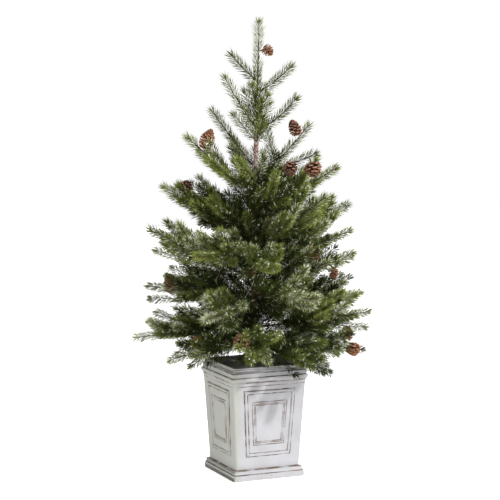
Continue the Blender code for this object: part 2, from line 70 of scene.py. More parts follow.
# %% [markdown]
# ## The sizes that drive everything
#
# The pole, the branches and the cones follow the same few tables as the solids do.  A branch is
# told by the height where it leaves the pole, the way it heads, how far out and up its tip lies,
# how far it sags and how much of it is bare.  Heading 0 is +X and headings turn towards +Y.

# %% Sizes of the planter and the pole
POT_HEIGHT = 0.3035
PLINTH_HALF = 0.1024
PLINTH_HEIGHT = 0.0285
BODY_FOOT_HALF = 0.0916
BODY_HEAD_HALF = 0.1056
BODY_HEAD_HEIGHT = 0.264
CORNICE_HALF = 0.1106
LIP_HALF = 0.1003
RIM_THICK = 0.006
POT_FLOOR = 0.012
CAVITY_FLOOR_HALF = 0.080
FILLING_TOP = POT_HEIGHT - 0.034
PANEL_HEIGHT = 0.153

GAP = 0.0003
TREE_HEIGHT = 1.22
TRUNK_TOP = 1.075
TRUNK_FOOT = FILLING_TOP + GAP
TRUNK_FOOT_RADIUS = 0.0075
TRUNK_SHOULDER = 0.914
TRUNK_SHOULDER_RADIUS = 0.0062
SHOULDER_LENGTH = 0.010
ROD_RADIUS = 0.0030
TRUNK_TOP_RADIUS = 0.0025
TRUNK_LEAN = (0.0092, -0.0040)
BOUGH_FOOT_RADIUS = 0.0040
BOUGH_TIP_RADIUS = 0.0028
STEM_RADIUS = 0.0034
NEEDLE_FORWARD = 0.0180

# %% The branches
# frost is how much of a branch is dusted or flocked white, and tint leans its green towards the
# deep green that doubles as painted shade (0) or the bright (1) end.
Branch = namedtuple("Branch", "name height heading reach rise sag bare frost tint")


def table(row, text):
    """One row for each line of text: a name and its numbers."""
    lines = [line.split() for line in text.strip().splitlines()]
    return [row(name, *map(float, measures)) for name, *measures in lines]


BRANCHES = table(Branch, """
top_left           1.050 152 .078  .080  .001   0  .60 .50
top_right          1.025 342 .098  .077  .009   0  .15 .60
upper_left_high     .927 166 .090  .147  .006   0  .65 .65
upper_right_high    .927 327 .116  .095  .016   0  .50 .65
upper_front         .890 256 .120  .082  .003   0  .75 .70
upper_back          .900  62 .120  .092  .003   0  .60 .65
upper_left          .820 142 .127  .162  .002   0  .70 .60
upper_right         .775 352 .156  .168  .002   0  .70 .65
middle_back_high    .800  92 .160  .102  .003   0  .60 .65
middle_left_high    .750 172 .195  .166  .002   0  .15 .75
middle_right_high   .800 320 .175  .068  .002   0  .25 .80
middle_front_high   .780 228 .165  .083  .003   0  .75 .65
middle_front_right  .710 275 .205  .078  .003   0  .30 .60
middle_back_right   .700  48 .210  .103  .003   0  .35 .40
middle_left         .650 148 .257  .125  .004   0  .25 .80
middle_right_inner  .690 343 .228  .138  .003   0  .20 .70
middle_back         .650 104 .235  .068  .004   0  .35 .40
middle_right_front  .615 303 .230  .148  .003   0  .25 .50
middle_front_left   .590 202 .235  .018  .003   0  .38 .65
middle_right        .585   2 .292  .134  .004 .18  .15 .65
low_left_high       .525 174 .297  .148  .004 .18  .38 .65
middle_right_low    .555 345 .272  .102  .004   0  .30 .60
low_right_high      .515 330 .276  .090  .004 .18  .35 .40
low_back_high       .555  70 .270  .058  .004 .18  .35 .40
low_front_high      .565 252 .260  .033  .004 .18  .30 .70
low_left            .490 150 .300  .012  .004 .18  .35 .55
low_front_right     .485 285 .280  .018  .004 .18  .50 .30
low_right           .450 350 .310  .032  .004 .18  .30 .50
low_back_left       .475 122 .290  .008  .004 .18  .35 .40
low_back_right      .440  40 .300  .028  .004 .18  .35 .40
low_front_left      .470 218 .280 -.022  .003 .18  .28 .60
foot_left           .410 170 .334 -.032  .002 .18  .70 .40
foot_right          .395 322 .322  .056  .003 .18  .30 .50
foot_back           .390  88 .280 -.027  .002 .18  .35 .40
foot_front          .385 244 .270 -.042  .000 .18  .25 .70
foot_left_front     .365 190 .275 -.037 -.004 .18  .50 .30
foot_right_side     .360 346 .310 -.037 -.004 .18  .35 .40
foot_right_front    .355 296 .270 -.057 -.008 .18  .45 .40
""")
LEADER = "leader"
LEADER_FROST = 1.0
LEADER_TINT = 0.4
print(len(BRANCHES), "branches and the leader")

# %% The cones
# share is how far along the stem a cone's wire leaves it, turn is measured round the stem (0 is
# up), and off is how far from the stem the cone's middle hangs.
Cone = namedtuple("Cone", "branch share turn off width length")
CONES = table(Cone, """
leader             .46 180 .026 .029 .032
upper_right        .88 353 .029 .032 .048
middle_left_high   .84  11 .034 .037 .060
middle_right_high  .58 229 .021 .037 .038
middle_right_high  .92 190 .037 .044 .037
middle_left        .82  12 .031 .037 .037
low_right_high     .58 349 .035 .032 .040
low_right_high     .73 201 .036 .028 .030
low_left           .75  45 .027 .037 .057
low_front_high     .20 190 .020 .024 .032
foot_front         .55 315 .037 .042 .036
foot_right_side    .81 352 .041 .037 .037
foot_right_side    .91 260 .013 .037 .035
foot_left_front    .64   9 .028 .032 .032
low_back_high      .73 346 .030 .030 .044
middle_back_right  .75  19 .025 .037 .038
middle_back        .79 345 .027 .034 .052
low_back_right     .69  14 .024 .037 .040
low_back_left      .74 350 .026 .038 .036
foot_back          .59   8 .025 .040 .038
""")
print(len(CONES), "cones")

# %% [markdown]
# ## Writing a finish as sums
#
# A finish in Blender is a web of nodes.  Drawn by hand it is quick to see but slow to change, so
# here a node's output is wrapped in a small class that Python's own signs work on.  Then
# `1 - grime * 0.5` adds the two Math nodes and joins them up by itself.

# %% A value that arithmetic works on
def sign(operation, swapped=False):
    """A method that adds the Math node of an operation to the value's finish."""
    def method(value, other=0.0):
        first, second = (other, value) if swapped else (value, other)
        return value.finish.maths(operation, first, second)
    return method


class Value:
    """The output of a node."""

    __add__ = __radd__ = sign("ADD")
    __sub__ = sign("SUBTRACT")
    __rsub__ = sign("SUBTRACT", swapped=True)
    __mul__ = __rmul__ = sign("MULTIPLY")
    __abs__ = sign("ABSOLUTE")
    least = sign("MINIMUM")
    most = sign("MAXIMUM")

    def __init__(self, finish, socket):
        self.finish = finish
        self.socket = socket

    def rises(self, low, high):
        """0 below low, 1 above high, smooth between them."""
        settings = {"interpolation_type": "SMOOTHSTEP"}
        return self.finish.node("MapRange", settings, {0: self, 1: low, 2: high})


# %% A finish made node by node
class Finish:
    """A material with one Principled shader."""

    def __init__(self, name, **fixed):
        self.material = bpy.data.materials.new(name)
        self.material.use_nodes = True
        self.tree = self.material.node_tree
        self.shader = self.tree.nodes["Principled BSDF"]
        for socket, value in fixed.items():
            self.shader.inputs[socket.replace("_", " ")].default_value = value

    def node(self, kind, settings=(), sockets=(), output=0):
        made = self.tree.nodes.new("ShaderNode" + kind)
        for key, value in dict(settings).items():
            setattr(made, key, value)
        for key, value in dict(sockets).items():
            if isinstance(value, Value):
                self.tree.links.new(value.socket, made.inputs[key])
            else:
                made.inputs[key].default_value = value
        return Value(self, made.outputs[output])

    def maths(self, operation, first, second):
        return self.node("Math", {"operation": operation}, {0: first, 1: second})

    def axes(self, source="Object"):
        """The x, y and z of the object's coordinates, or of another output beside them."""
        spot = self.node("TexCoord", output=source)
        return [self.node("SeparateXYZ", (), {0: spot}, output=axis) for axis in range(3)]

    def noise(self, scale, detail=3.0, stretch=(1.0, 1.0, 1.0)):
        """Noise in the object's coordinates, squeezed along an axis if asked."""
        spot = self.node("TexCoord", output="Object")
        spot = self.node("Mapping", (), {"Vector": spot, "Scale": stretch})
        return self.node("TexNoise", (), {"Vector": spot, "Scale": scale, "Detail": detail})

    def blend(self, share, first, second):
        """One colour going over to another."""
        first, second = (c if isinstance(c, Value) else (*c, 1.0) for c in (first, second))
        return self.node("Mix", {"data_type": "RGBA"}, {0: share, 6: first, 7: second}, output=2)

    def feed(self, socket, value):
        self.tree.links.new(value.socket, self.shader.inputs[socket])

    def bump(self, height, distance, strength=1.0):
        sockets = {"Height": height, "Distance": distance, "Strength": strength}
        self.feed("Normal", self.node("Bump", (), sockets))


def tone(red, green, blue):
    """A colour as a paint chart gives it, 0 to 255, made linear as the shader wants it."""
    parts = [part / 255 for part in (red, green, blue)]
    return tuple(p / 12.92 if p <= 0.04045 else ((p + 0.055) / 1.055) ** 2.4 for p in parts)


def mottled(name, patches, tones, flecks, fleck_tone, fleck_share, relief, **fixed):
    """A finish of two tones in patches, with finer flecks of a third that stand up by relief.

    Patches and flecks are each told by a noise's scale and detail and where it rises."""
    finish = Finish(name, **fixed)
    drift, grain = finish.noise(*patches[:2]), finish.noise(*flecks[:2])
    colour = finish.blend(drift.rises(*patches[2:]), *tones)
    colour = finish.blend(grain.rises(*flecks[2:]) * fleck_share, colour, fleck_tone)
    finish.feed("Base Color", colour)
    if relief:
        finish.bump(grain, relief)
    return finish, drift, grain


print("the finish class is ready")

# %% [markdown]
# ## Small helpers for meshes
#
# Every piece ends the same way: its bmesh becomes a mesh, the mesh gets an object and a finish,
# and the object is told which body carries it, while the plain solids it stands for are hidden.
# Smooth shading with sharp creases past an angle keeps flat faces flat and round ones round.

# %% From a bmesh to a piece
def placed(name, data):
    """An object of a mesh, a lamp or a camera, put in the scene."""
    thing = bpy.data.objects.new(name, data)
    bpy.context.scene.collection.objects.link(thing)
    return thing


def piece_from(mesh, name, finishes, replaced, crease=None):
    if isinstance(mesh, bmesh.types.BMesh):
        bm, mesh = mesh, bpy.data.meshes.new(name)
        bm.to_mesh(mesh)
        bm.free()
    for finish in finishes:
        mesh.materials.append(finish.material)
    mesh.shade_smooth()
    if crease is not None:
        mesh.set_sharp_from_angle(angle=math.radians(crease))
    piece = placed(name, mesh)
    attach(piece, "root")
    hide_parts(*replaced)
    print(f"{name}: {len(mesh.polygons)} faces")


def add_into(whole, part):
    """Put one bmesh's faces into another one, and free it."""
    mesh = bpy.data.meshes.new("part")
    part.to_mesh(mesh)
    part.free()
    whole.from_mesh(mesh)
    bpy.data.meshes.remove(mesh)


# %% [markdown]
# ## The planter
#
# The real planter is cast in one piece: a square tapered body on a stepped plinth, with a cornice
# round its rim and a framed panel on each side.  A square section never changes shape, only size,
# so the body is one square face that is extruded again and again and scaled each time, up the
# outside, over the rim and down the inside.  Then its edges are bevelled, because a cast edge
# under several coats of paint is never sharp.

# %% The planter's section, from the floor up the outside and down the inside
def cavity_half(height):
    share = (height - POT_FLOOR) / (POT_HEIGHT - POT_FLOOR)
    return CAVITY_FLOOR_HALF + share * (LIP_HALF - RIM_THICK - CAVITY_FLOOR_HALF)


def hollow_curve(low, high, depth, steps):
    """Points of a hollow moulding between two (half width, height) points."""
    points = []
    for step in range(1, steps):
        share = step / steps
        half = low[0] + (high[0] - low[0]) * share - depth * math.sin(math.pi * share)
        points.append((half, low[1] + (high[1] - low[1]) * share))
    return points


def planter_section():
    foot = (PLINTH_HALF - 0.0036, PLINTH_HEIGHT - 0.0018)
    step = (PLINTH_HALF - 0.0018, PLINTH_HEIGHT - 0.0110)
    under_lip = (LIP_HALF + 0.0035, POT_HEIGHT - 0.0105)
    lip = (LIP_HALF - 0.0004, POT_HEIGHT - 0.0034)
    return [
        (PLINTH_HALF - 0.0006, 0.0),
        (PLINTH_HALF, 0.0040),
        (PLINTH_HALF, 0.0095),
        (PLINTH_HALF - 0.0006, PLINTH_HEIGHT - 0.0130),
        step,
        *hollow_curve(step, foot, 0.0010, 4),
        foot,
        (BODY_FOOT_HALF, PLINTH_HEIGHT),
        (BODY_HEAD_HALF - 0.0012, BODY_HEAD_HEIGHT - 0.0100),
        (BODY_HEAD_HALF, BODY_HEAD_HEIGHT - 0.0080),
        (BODY_HEAD_HALF, BODY_HEAD_HEIGHT),
        (CORNICE_HALF - 0.0016, POT_HEIGHT - 0.0350),
        (CORNICE_HALF, POT_HEIGHT - 0.0325),
        (CORNICE_HALF - 0.0004, POT_HEIGHT - 0.0260),
        (LIP_HALF + 0.0066, POT_HEIGHT - 0.0240),
        (LIP_HALF + 0.0062, POT_HEIGHT - 0.0135),
        *hollow_curve((LIP_HALF + 0.0055, POT_HEIGHT - 0.0130), under_lip, 0.0006, 3),
        under_lip,
        *hollow_curve(under_lip, lip, 0.0010, 4),
        lip,
        (LIP_HALF, POT_HEIGHT - 0.0025),
        (LIP_HALF, POT_HEIGHT),
        (cavity_half(POT_HEIGHT), POT_HEIGHT),
        (CAVITY_FLOOR_HALF, POT_FLOOR),
    ]


# %% Extrude the square up its section
def only(kind, parts):
    return [part for part in parts if isinstance(part, kind)]


def round_edges(bm, edges, offset, segments):
    bmesh.ops.bevel(bm, geom=edges, offset=offset, segments=segments, profile=0.5,
                    affect="EDGES", material=-1, clamp_overlap=True)
    bmesh.ops.recalc_face_normals(bm, faces=bm.faces)


def is_upright(edge):
    """Whether an edge runs up a corner: seen from above, it points at the middle or is a point."""
    first, second = (vert.co.xy for vert in edge.verts)
    run = first - second
    return run.length < 1e-6 or run.normalized().dot(first.normalized()) ** 2 > 0.9


CORNER_ROUND = 0.0034
EDGE_ROUND = 0.0005
SHARP = 14.0                     # degrees past which an edge counts as sharp


def square_body(section):
    bm = bmesh.new()
    half, height = section[0]
    quarter = Matrix.Rotation(math.radians(45.0), 4, "Z")
    bmesh.ops.create_circle(
        bm, cap_ends=True, segments=4, radius=half * math.sqrt(2.0), matrix=quarter)
    bmesh.ops.translate(bm, vec=(0.0, 0.0, height), verts=bm.verts)
    top = bm.faces[:][0]
    for next_half, next_height in section[1:]:
        made = bmesh.ops.extrude_face_region(bm, geom=[top])["geom"]
        top = only(bmesh.types.BMFace, made)[0]
        scale = next_half / half
        bmesh.ops.scale(bm, vec=(scale, scale, 1.0), verts=top.verts)
        bmesh.ops.translate(bm, vec=(0.0, 0.0, next_height - height), verts=top.verts)
        half, height = next_half, next_height
    round_edges(bm, [edge for edge in bm.edges if is_upright(edge)], CORNER_ROUND, 3)
    level = [edge for edge in bm.edges if abs(edge.verts[0].co.z - edge.verts[1].co.z) < 1e-6
             and len(edge.link_faces) == 2 and edge.calc_face_angle(0.0) > math.radians(SHARP)]
    round_edges(bm, level, EDGE_ROUND, 2)
    return bm


planter = square_body(planter_section())
print("planter body:", len(planter.faces), "faces")

# %% [markdown]
# Each side carries two mouldings, one inside the other: a rounded bead with soft corners, and a
# stepped square frame.  A moulding's section goes up and down while its outline stays parallel,
# which is what `inset_region` does: every call draws the outline in by a thickness and lifts it
# by a depth.  A row of such steps is the whole section.

# %% Panels of mouldings
PANEL_SLOPE = (BODY_HEAD_HALF - BODY_FOOT_HALF) / (BODY_HEAD_HEIGHT - PLINTH_HEIGHT)
PANEL_THICK = 0.0030
PANEL_SUNK = 0.0028
BEAD = {"width": 0.136, "height": 0.178, "round": 0.013, "steps": [
    (0.0006, 0.0010), (0.0010, 0.0009), (0.0014, 0.0004), (0.0012, 0.0), (0.0014, -0.0004),
    (0.0010, -0.0010), (0.0008, -0.0006), (0.0010, 0.0002), (0.0006, 0.0005), (0.0010, 0.0002)]}
SQUARE = {"width": 0.093, "height": 0.116, "round": 0.0, "steps": [
    (0.0004, 0.0014), (0.0008, 0.0006), (0.0022, 0.0), (0.0006, -0.0004), (0.0008, -0.0008),
    (0.0020, 0.0), (0.0007, -0.0006), (0.0008, 0.0)]}


def panel(size, side):
    """One closed panel, its back sunk into the planter's wall on the given side."""
    bm = bmesh.new()
    bmesh.ops.create_grid(bm, x_segments=1, y_segments=1, size=0.5)
    bmesh.ops.scale(bm, vec=(size["width"], size["height"], 1.0), verts=bm.verts)
    if size["round"]:
        bmesh.ops.bevel(bm, geom=bm.verts[:], offset=size["round"], segments=6, profile=0.5,
                        affect="VERTICES", material=-1)
    made = bmesh.ops.extrude_face_region(bm, geom=bm.faces[:])["geom"]
    front = only(bmesh.types.BMFace, made)[0]
    bmesh.ops.translate(bm, vec=(0.0, 0.0, PANEL_THICK), verts=front.verts)
    bmesh.ops.recalc_face_normals(bm, faces=bm.faces)
    for thickness, depth in size["steps"]:
        bmesh.ops.inset_region(bm, faces=[front], thickness=thickness, depth=depth,
                               use_even_offset=True, use_boundary=True)
    for vert in bm.verts:
        vert.co.x *= 1.0 + PANEL_SLOPE * vert.co.y / (size["width"] / 2)
    wall = BODY_FOOT_HALF + (PANEL_HEIGHT - PLINTH_HEIGHT) * PANEL_SLOPE
    for matrix in (Matrix.Rotation(math.radians(90.0) + math.atan(PANEL_SLOPE), 4, "X"),
                   Matrix.Translation((0.0, PANEL_SUNK - wall, PANEL_HEIGHT)),
                   Matrix.Rotation(math.radians(90.0 * side), 4, "Z")):
        bmesh.ops.transform(bm, matrix=matrix, verts=bm.verts)
    return bm


for side in range(4):
    for size in (BEAD, SQUARE):
        add_into(planter, panel(size, side))
print("planter with its mouldings:", len(planter.faces), "faces")

# %% [markdown]
# The paint is a chalky whitewash brushed over brown, with faint streaks on the flats and brown
# left in the grooves.  The grooves lie at known distances from the middle of each side, so the
# grime is drawn from sums on the object's own coordinates: the distance to a frame's outline is
# the larger of two plain differences.

# %% The whitewash
whitewash = Finish("whitewash", Specular_IOR_Level=0.35)
along_x, along_y, up = whitewash.axes()
across = abs(along_x).least(abs(along_y))
outward = abs(along_x).most(abs(along_y))
streak_level = whitewash.noise(60.0, 4.0, (0.5, 0.5, 6.0))
streak_upright = whitewash.noise(60.0, 4.0, (6.0, 6.0, 0.5))
blotch = whitewash.noise(14.0, 3.0)
crumble = whitewash.noise(170.0, 4.0)
patch = whitewash.noise(32.0, 2.0)


def frame_distance(size, inset):
    """Signed distance from the outline of a frame drawn in by inset, on any side."""
    narrow = across - (up - PANEL_HEIGHT) * PANEL_SLOPE
    level = narrow - (size["width"] / 2 - inset)
    upright = abs(up - PANEL_HEIGHT) - (size["height"] / 2 - inset)
    return level.most(upright)


def line(distance, width):
    """1 on a line and 0 away from it."""
    return 1 - abs(distance).rises(width * 0.35, width)


grooves = line(frame_distance(BEAD, -0.0004), 0.0022)
for size, inset, width in ((BEAD, 0.0086, 0.0020), (SQUARE, -0.0004, 0.0020),
                           (SQUARE, 0.0048, 0.0016), (SQUARE, 0.0084, 0.0018)):
    grooves = grooves.most(line(frame_distance(size, inset), width))
for height, width in ((PLINTH_HEIGHT - 0.0002, 0.0026), (PLINTH_HEIGHT - 0.0118, 0.0018),
                      (BODY_HEAD_HEIGHT - 0.0092, 0.0016), (BODY_HEAD_HEIGHT + 0.0010, 0.0030),
                      (POT_HEIGHT - 0.0250, 0.0018), (POT_HEIGHT - 0.0132, 0.0018),
                      (POT_HEIGHT - 0.0034, 0.0014)):
    grooves = grooves.most(line(up - height, width))
grime = grooves * (patch * 2.4 + crumble * 0.8 - 1.05).rises(0.0, 0.9)
rubbed = (crumble * 0.6 + patch * 0.9).rises(0.93, 1.10) * 0.55
# Painted shade: the lowest 3 cm darken towards the floor, mixed into the same brown tone as the
# rubbed patches.
painted_foot_shade = (0.030 - up).rises(0.0, 0.030) * 0.10
streaks = (streak_level.rises(0.45, 0.75) * 0.5 + streak_upright.rises(0.45, 0.75) * 0.5) * 0.55
# Painted shade: the side that faces -X is tinted greener, standing in for that side lying in shade
# and lit by green light bounced from the foliage.
painted_shaded_side = (0 - along_x).rises(0.078, 0.090) * 0.6      # the side that faces -X
# Painted shade: the cavity's walls above 0.2 m are darkened towards a grey brown, standing in for
# the shade inside the planter.
in_cavity = 1 - (outward - (LIP_HALF - RIM_THICK)).rises(-0.001, 0.0005)
inside = (up - 0.2).rises(0.0, 0.02) * in_cavity
paint = tone(162, 161, 164)
for share, colour in ((blotch.rises(0.25, 0.75), tone(175, 175, 179)),
                      (streaks, tone(162, 159, 157)), (painted_shaded_side, tone(158, 160, 146)),
                      ((rubbed + painted_foot_shade).least(1.0), tone(140, 131, 122)),
                      (grime, tone(104, 88, 76)), (inside * 0.75, tone(96, 90, 84))):
    paint = whitewash.blend(share, paint, colour)
whitewash.feed("Base Color", paint)
whitewash.feed("Roughness", 0.62 + grime * 0.3 + streaks * 0.1)
relief = streak_level * 0.4 + streak_upright * 0.4 + crumble * 0.5 - grime * 0.8
whitewash.bump(relief, 0.0009, 0.7)

bmesh.ops.triangulate(planter, faces=planter.faces)
piece_from(planter, "planter", [whitewash], ["pot"], crease=SHARP)

# %% [markdown]
# ## What the pole stands in
#
# Foam and plaster hold the pole, covered with dark moss.  Only glimpses show between the lowest
# branches, but from above it fills the rim.  A fine grid is bent down at its rim and made lumpy
# in code, which is cheaper than a sculpted surface and as good at this size.

# %% The mossy filling
def bumpy(x, y, z=0.0):
    """A smooth wandering value between about -1 and 1."""
    return (math.sin(71.0 * x + 3.1 * math.sin(43.0 * y + z * 20.0))
            + math.sin(57.0 * y + 2.3 * math.sin(67.0 * x + z * 31.0) + 1.3)) / 2


filling = bmesh.new()
bmesh.ops.create_grid(filling, x_segments=48, y_segments=48, size=1.0)
rim_half = cavity_half(FILLING_TOP) - GAP
skirt = [e for e in filling.edges if e.is_boundary]
wall = bmesh.ops.extrude_edge_only(filling, edges=skirt)["geom"]
bmesh.ops.translate(filling, vec=(0.0, 0.0, -1.0), verts=only(bmesh.types.BMVert, wall))
bmesh.ops.holes_fill(filling, edges=[e for e in filling.edges if e.is_boundary], sides=0)
floor_half = cavity_half(POT_FLOOR + GAP) - GAP
for vert in filling.verts:
    x, y = vert.co.x, vert.co.y
    if vert.co.z < -0.5:
        vert.co = (x * floor_half, y * floor_half, POT_FLOOR + GAP)
    else:
        edge = max(abs(x), abs(y))
        x, y = x * rim_half, y * rim_half
        lumps = 0.0022 * bumpy(x, y) + 0.0014 * bumpy(2.3 * x + 0.1, 2.7 * y)
        lumps += 0.0008 * bumpy(6 * y, 5 * x)
        vert.co = (x, y, FILLING_TOP - 0.0035 + lumps - 0.004 * max(0.0, edge - 0.9) / 0.1)
bmesh.ops.recalc_face_normals(filling, faces=filling.faces)

moss, humps, tufts = mottled(
    "moss", (55.0, 3.0, 0.35, 0.7), (tone(38, 34, 26), tone(58, 60, 36)),
    (260.0, 5.0, 0.5, 0.75), tone(92, 88, 62), 1.0, 0.0, Roughness=0.95, Specular_IOR_Level=0.15)
moss.bump(tufts + humps * 0.5, 0.002)
piece_from(filling, "moss_filling", [moss], ["pot_filling"], crease=50.0)

# %% [markdown]
# ## Lines that limbs follow
#
# A branch is a straight line that sags between its two ends.  Everything that grows on it asks
# the line for a point and a direction, so the line is a small class of its own.

# %% The pole's middle and a branch's line
def trunk_point(height):
    share = (height - TRUNK_FOOT) / (TRUNK_TOP - TRUNK_FOOT)
    return Vector((TRUNK_LEAN[0] * share ** 2, TRUNK_LEAN[1] * share ** 2, height))


def trunk_radius(height):
    """The tube tapers slightly, steps in at its shoulder, and the rod above it tapers again."""
    if height < TRUNK_SHOULDER:
        share = (height - TRUNK_FOOT) / (TRUNK_SHOULDER - TRUNK_FOOT)
        return TRUNK_FOOT_RADIUS + share * (TRUNK_SHOULDER_RADIUS - TRUNK_FOOT_RADIUS)
    share = (height - TRUNK_SHOULDER) / (TRUNK_TOP - TRUNK_SHOULDER)
    rod = ROD_RADIUS + share * (TRUNK_TOP_RADIUS - ROD_RADIUS)
    step = min(1.0, (height - TRUNK_SHOULDER) / SHOULDER_LENGTH)
    return TRUNK_SHOULDER_RADIUS + step * (rod - TRUNK_SHOULDER_RADIUS)


def cross_frame(direction):
    """Two unit vectors square to a direction: one level, and one upwards."""
    side = Vector((-direction.y, direction.x, 0.0))
    if side.length < 0.001:
        side = Vector((0.0, 1.0, 0.0))
    side.normalize()
    return side, direction.cross(side)


def spread(first, last, count):
    return [first + (last - first) * step / count for step in range(count + 1)]


class Route:
    """A line that sags between its two ends."""

    def __init__(self, foot, tip, sag):
        self.foot = foot
        self.tip = tip
        self.sag = sag
        self.length = (tip - foot).length

    def point(self, share):
        point = self.foot.lerp(self.tip, share)
        point.z -= 4.0 * self.sag * share * (1.0 - share)
        return point

    def direction(self, share):
        return (self.point(share + 0.01) - self.point(share - 0.01)).normalized()

    def stretch(self, first, last, count):
        return [self.point(share) for share in spread(first, last, count)]


def branch_route(branch):
    heading = math.radians(branch.heading)
    out = Vector((math.cos(heading), math.sin(heading), 0.0))
    foot = trunk_point(branch.height)
    return Route(foot, foot + branch.reach * out + Vector((0.0, 0.0, branch.rise)), branch.sag)


def branch_start(branch, route):
    """The share of its line at which a branch comes clear of the pole."""
    foot_radius = BOUGH_FOOT_RADIUS if branch.bare else STEM_RADIUS
    tilted = foot_radius * abs(route.direction(0.05).z)
    return (trunk_radius(branch.height) + GAP + tilted) / branch.reach


def leader_route():
    top = trunk_point(TRUNK_TOP)
    lean = (top - trunk_point(TRUNK_TOP - 0.05)).normalized()
    return Route(top, top + lean * (TREE_HEIGHT - TRUNK_TOP) / lean.z, 0.0)


print("the leader is", round(leader_route().length, 3), "m long")

# %% [markdown]
# ## Pole and boughs
#
# The pole is steel wound with brown paper tape, and the bare foot of each branch is wire wound
# the same way.  Tape laid in a spiral leaves one low step that climbs round the limb, and the
# paper itself is wrinkled.  A plain tube with enough rings can carry both: each vertex is pushed
# out by a sum of its angle and its height, and a finer grain is left to the finish.

# %% A wound limb
TAPE_STEP = 0.00045
WRINKLE = 0.00022
FLARE_OVER = 0.02                # the length in which a flare at the foot dies away


def wound_limb(name, line_point, radius_at, length, sides, ring_gap, tape, flare=0.0):
    """A tube along line_point(share), wound with tape of the given width."""
    bm = bmesh.new()
    bmesh.ops.create_cone(bm, cap_ends=True, segments=sides, radius1=1.0, radius2=1.0, depth=1.0)
    uprights = [e for e in bm.edges if abs(e.verts[0].co.z - e.verts[1].co.z) > 0.5]
    cuts = max(4, int(length / ring_gap))
    bmesh.ops.subdivide_edges(bm, edges=uprights, cuts=cuts, use_grid_fill=True)
    for vert in bm.verts:
        share = min(max(vert.co.z + 0.5, 0.0), 1.0)
        angle = math.atan2(vert.co.y, vert.co.x)
        before, after = line_point(max(share - 0.01, 0.0)), line_point(min(share + 0.01, 1.0))
        side, up = cross_frame((after - before).normalized())
        turn = (share * length / tape + angle / math.tau) % 1.0
        lap = TAPE_STEP * (1.0 - turn) ** 2
        wrinkle = WRINKLE * bumpy(share * length * 9.0, angle * 0.11, share)
        wrinkle *= math.sin(3 * angle + 40 * share)
        foot = flare * max(0.0, 1.0 - share * length / FLARE_OVER) ** 2
        radius = radius_at(share) + lap + wrinkle + foot
        vert.co = line_point(share) + radius * (math.cos(angle) * up + math.sin(angle) * side)
    bmesh.ops.recalc_face_normals(bm, faces=bm.faces)
    return bm


bark = Finish("bark_paper", Specular_IOR_Level=0.25)
grain = bark.noise(420.0, 5.0)
fibre = bark.noise(130.0, 4.0, (1.0, 1.0, 0.25))
dust = bark.noise(90.0, 3.0)
_, _, limb_height = bark.axes()
brown = bark.blend(fibre.rises(0.35, 0.7), tone(88, 58, 44), tone(140, 104, 90))
brown = bark.blend(grain.rises(0.55, 0.8) * 0.6, brown, tone(62, 40, 30))
frosted = (dust + grain * 0.5).rises(0.62, 0.85) * limb_height.rises(0.70, 0.85)
brown = bark.blend(frosted * 0.80, brown, tone(206, 184, 180))
rod = bark.blend(fibre.rises(0.35, 0.7), tone(66, 54, 30), tone(98, 82, 50))
above_shoulder = limb_height.rises(TRUNK_SHOULDER, TRUNK_SHOULDER + SHOULDER_LENGTH)
bark.feed("Base Color", bark.blend(above_shoulder, brown, rod))
bark.feed("Roughness", 0.78 + grain * 0.15)
bark.bump(grain * 0.7 + fibre, 0.0007)

TAPE_SUNK = 0.0002               # what the plain limb gives up to the tape's step
trunk_length = TRUNK_TOP - TRUNK_FOOT
pole = wound_limb(
    "pole", lambda share: trunk_point(TRUNK_FOOT + share * trunk_length),
    lambda share: trunk_radius(TRUNK_FOOT + share * trunk_length) - TAPE_SUNK,
    trunk_length, sides=20, ring_gap=0.0032, tape=0.016, flare=0.0006)
piece_from(pole, "pole", [bark], ["trunk"], crease=60.0)

# %% The bare boughs, joined
boughs = bmesh.new()
for branch in BRANCHES:
    if not branch.bare:
        continue
    route = branch_route(branch)
    first = branch_start(branch, route)
    length = route.length * (branch.bare - first)
    limb = wound_limb(
        branch.name, lambda share: route.point(first + share * (branch.bare - first)),
        lambda share: (BOUGH_FOOT_RADIUS + share * (BOUGH_TIP_RADIUS - BOUGH_FOOT_RADIUS)
                       - TAPE_SUNK / 2),
        length, sides=12, ring_gap=0.0025, tape=0.011)
    add_into(boughs, limb)
piece_from(boughs, "boughs", [bark], bough_nodes, crease=60.0)

# %% [markdown]
# ## How a branch grows
#
# The rule is the solids' own.  A twig leaves its stem at about 34 degrees, curls forwards and up,
# and is shorter the nearer it is to the tip.  It stops where it would leave the room that is
# nearer to its own branch than to any other, or touch the planter, a limb or a cone.  Here the
# same rule is then run again with smaller numbers, for the shoots that a solid would be too
# coarse to show: on each twig, between the twigs, round the innermost part of a branch and round
# the pole itself.

# %% Numbers of the rules
SEED = 7
UP = Vector((0.0, 0.0, 1.0))
LINE_POINTS = 120
TWIGGED_BELOW = 0.765            # branches that leave the pole higher than this have no twigs
FILLED_BELOW = 0.705             # and those above this have none between them
SHOOT_STEP = 0.009
TWIG_RADIUS = 0.0028
CELL_MARGIN = 0.0045
LIMB_MARGIN = 0.0030
CONE_UPRIGHT = 0.9


def golden_rolls(count):
    return tuple(137.5 * turn % 360.0 for turn in range(count))


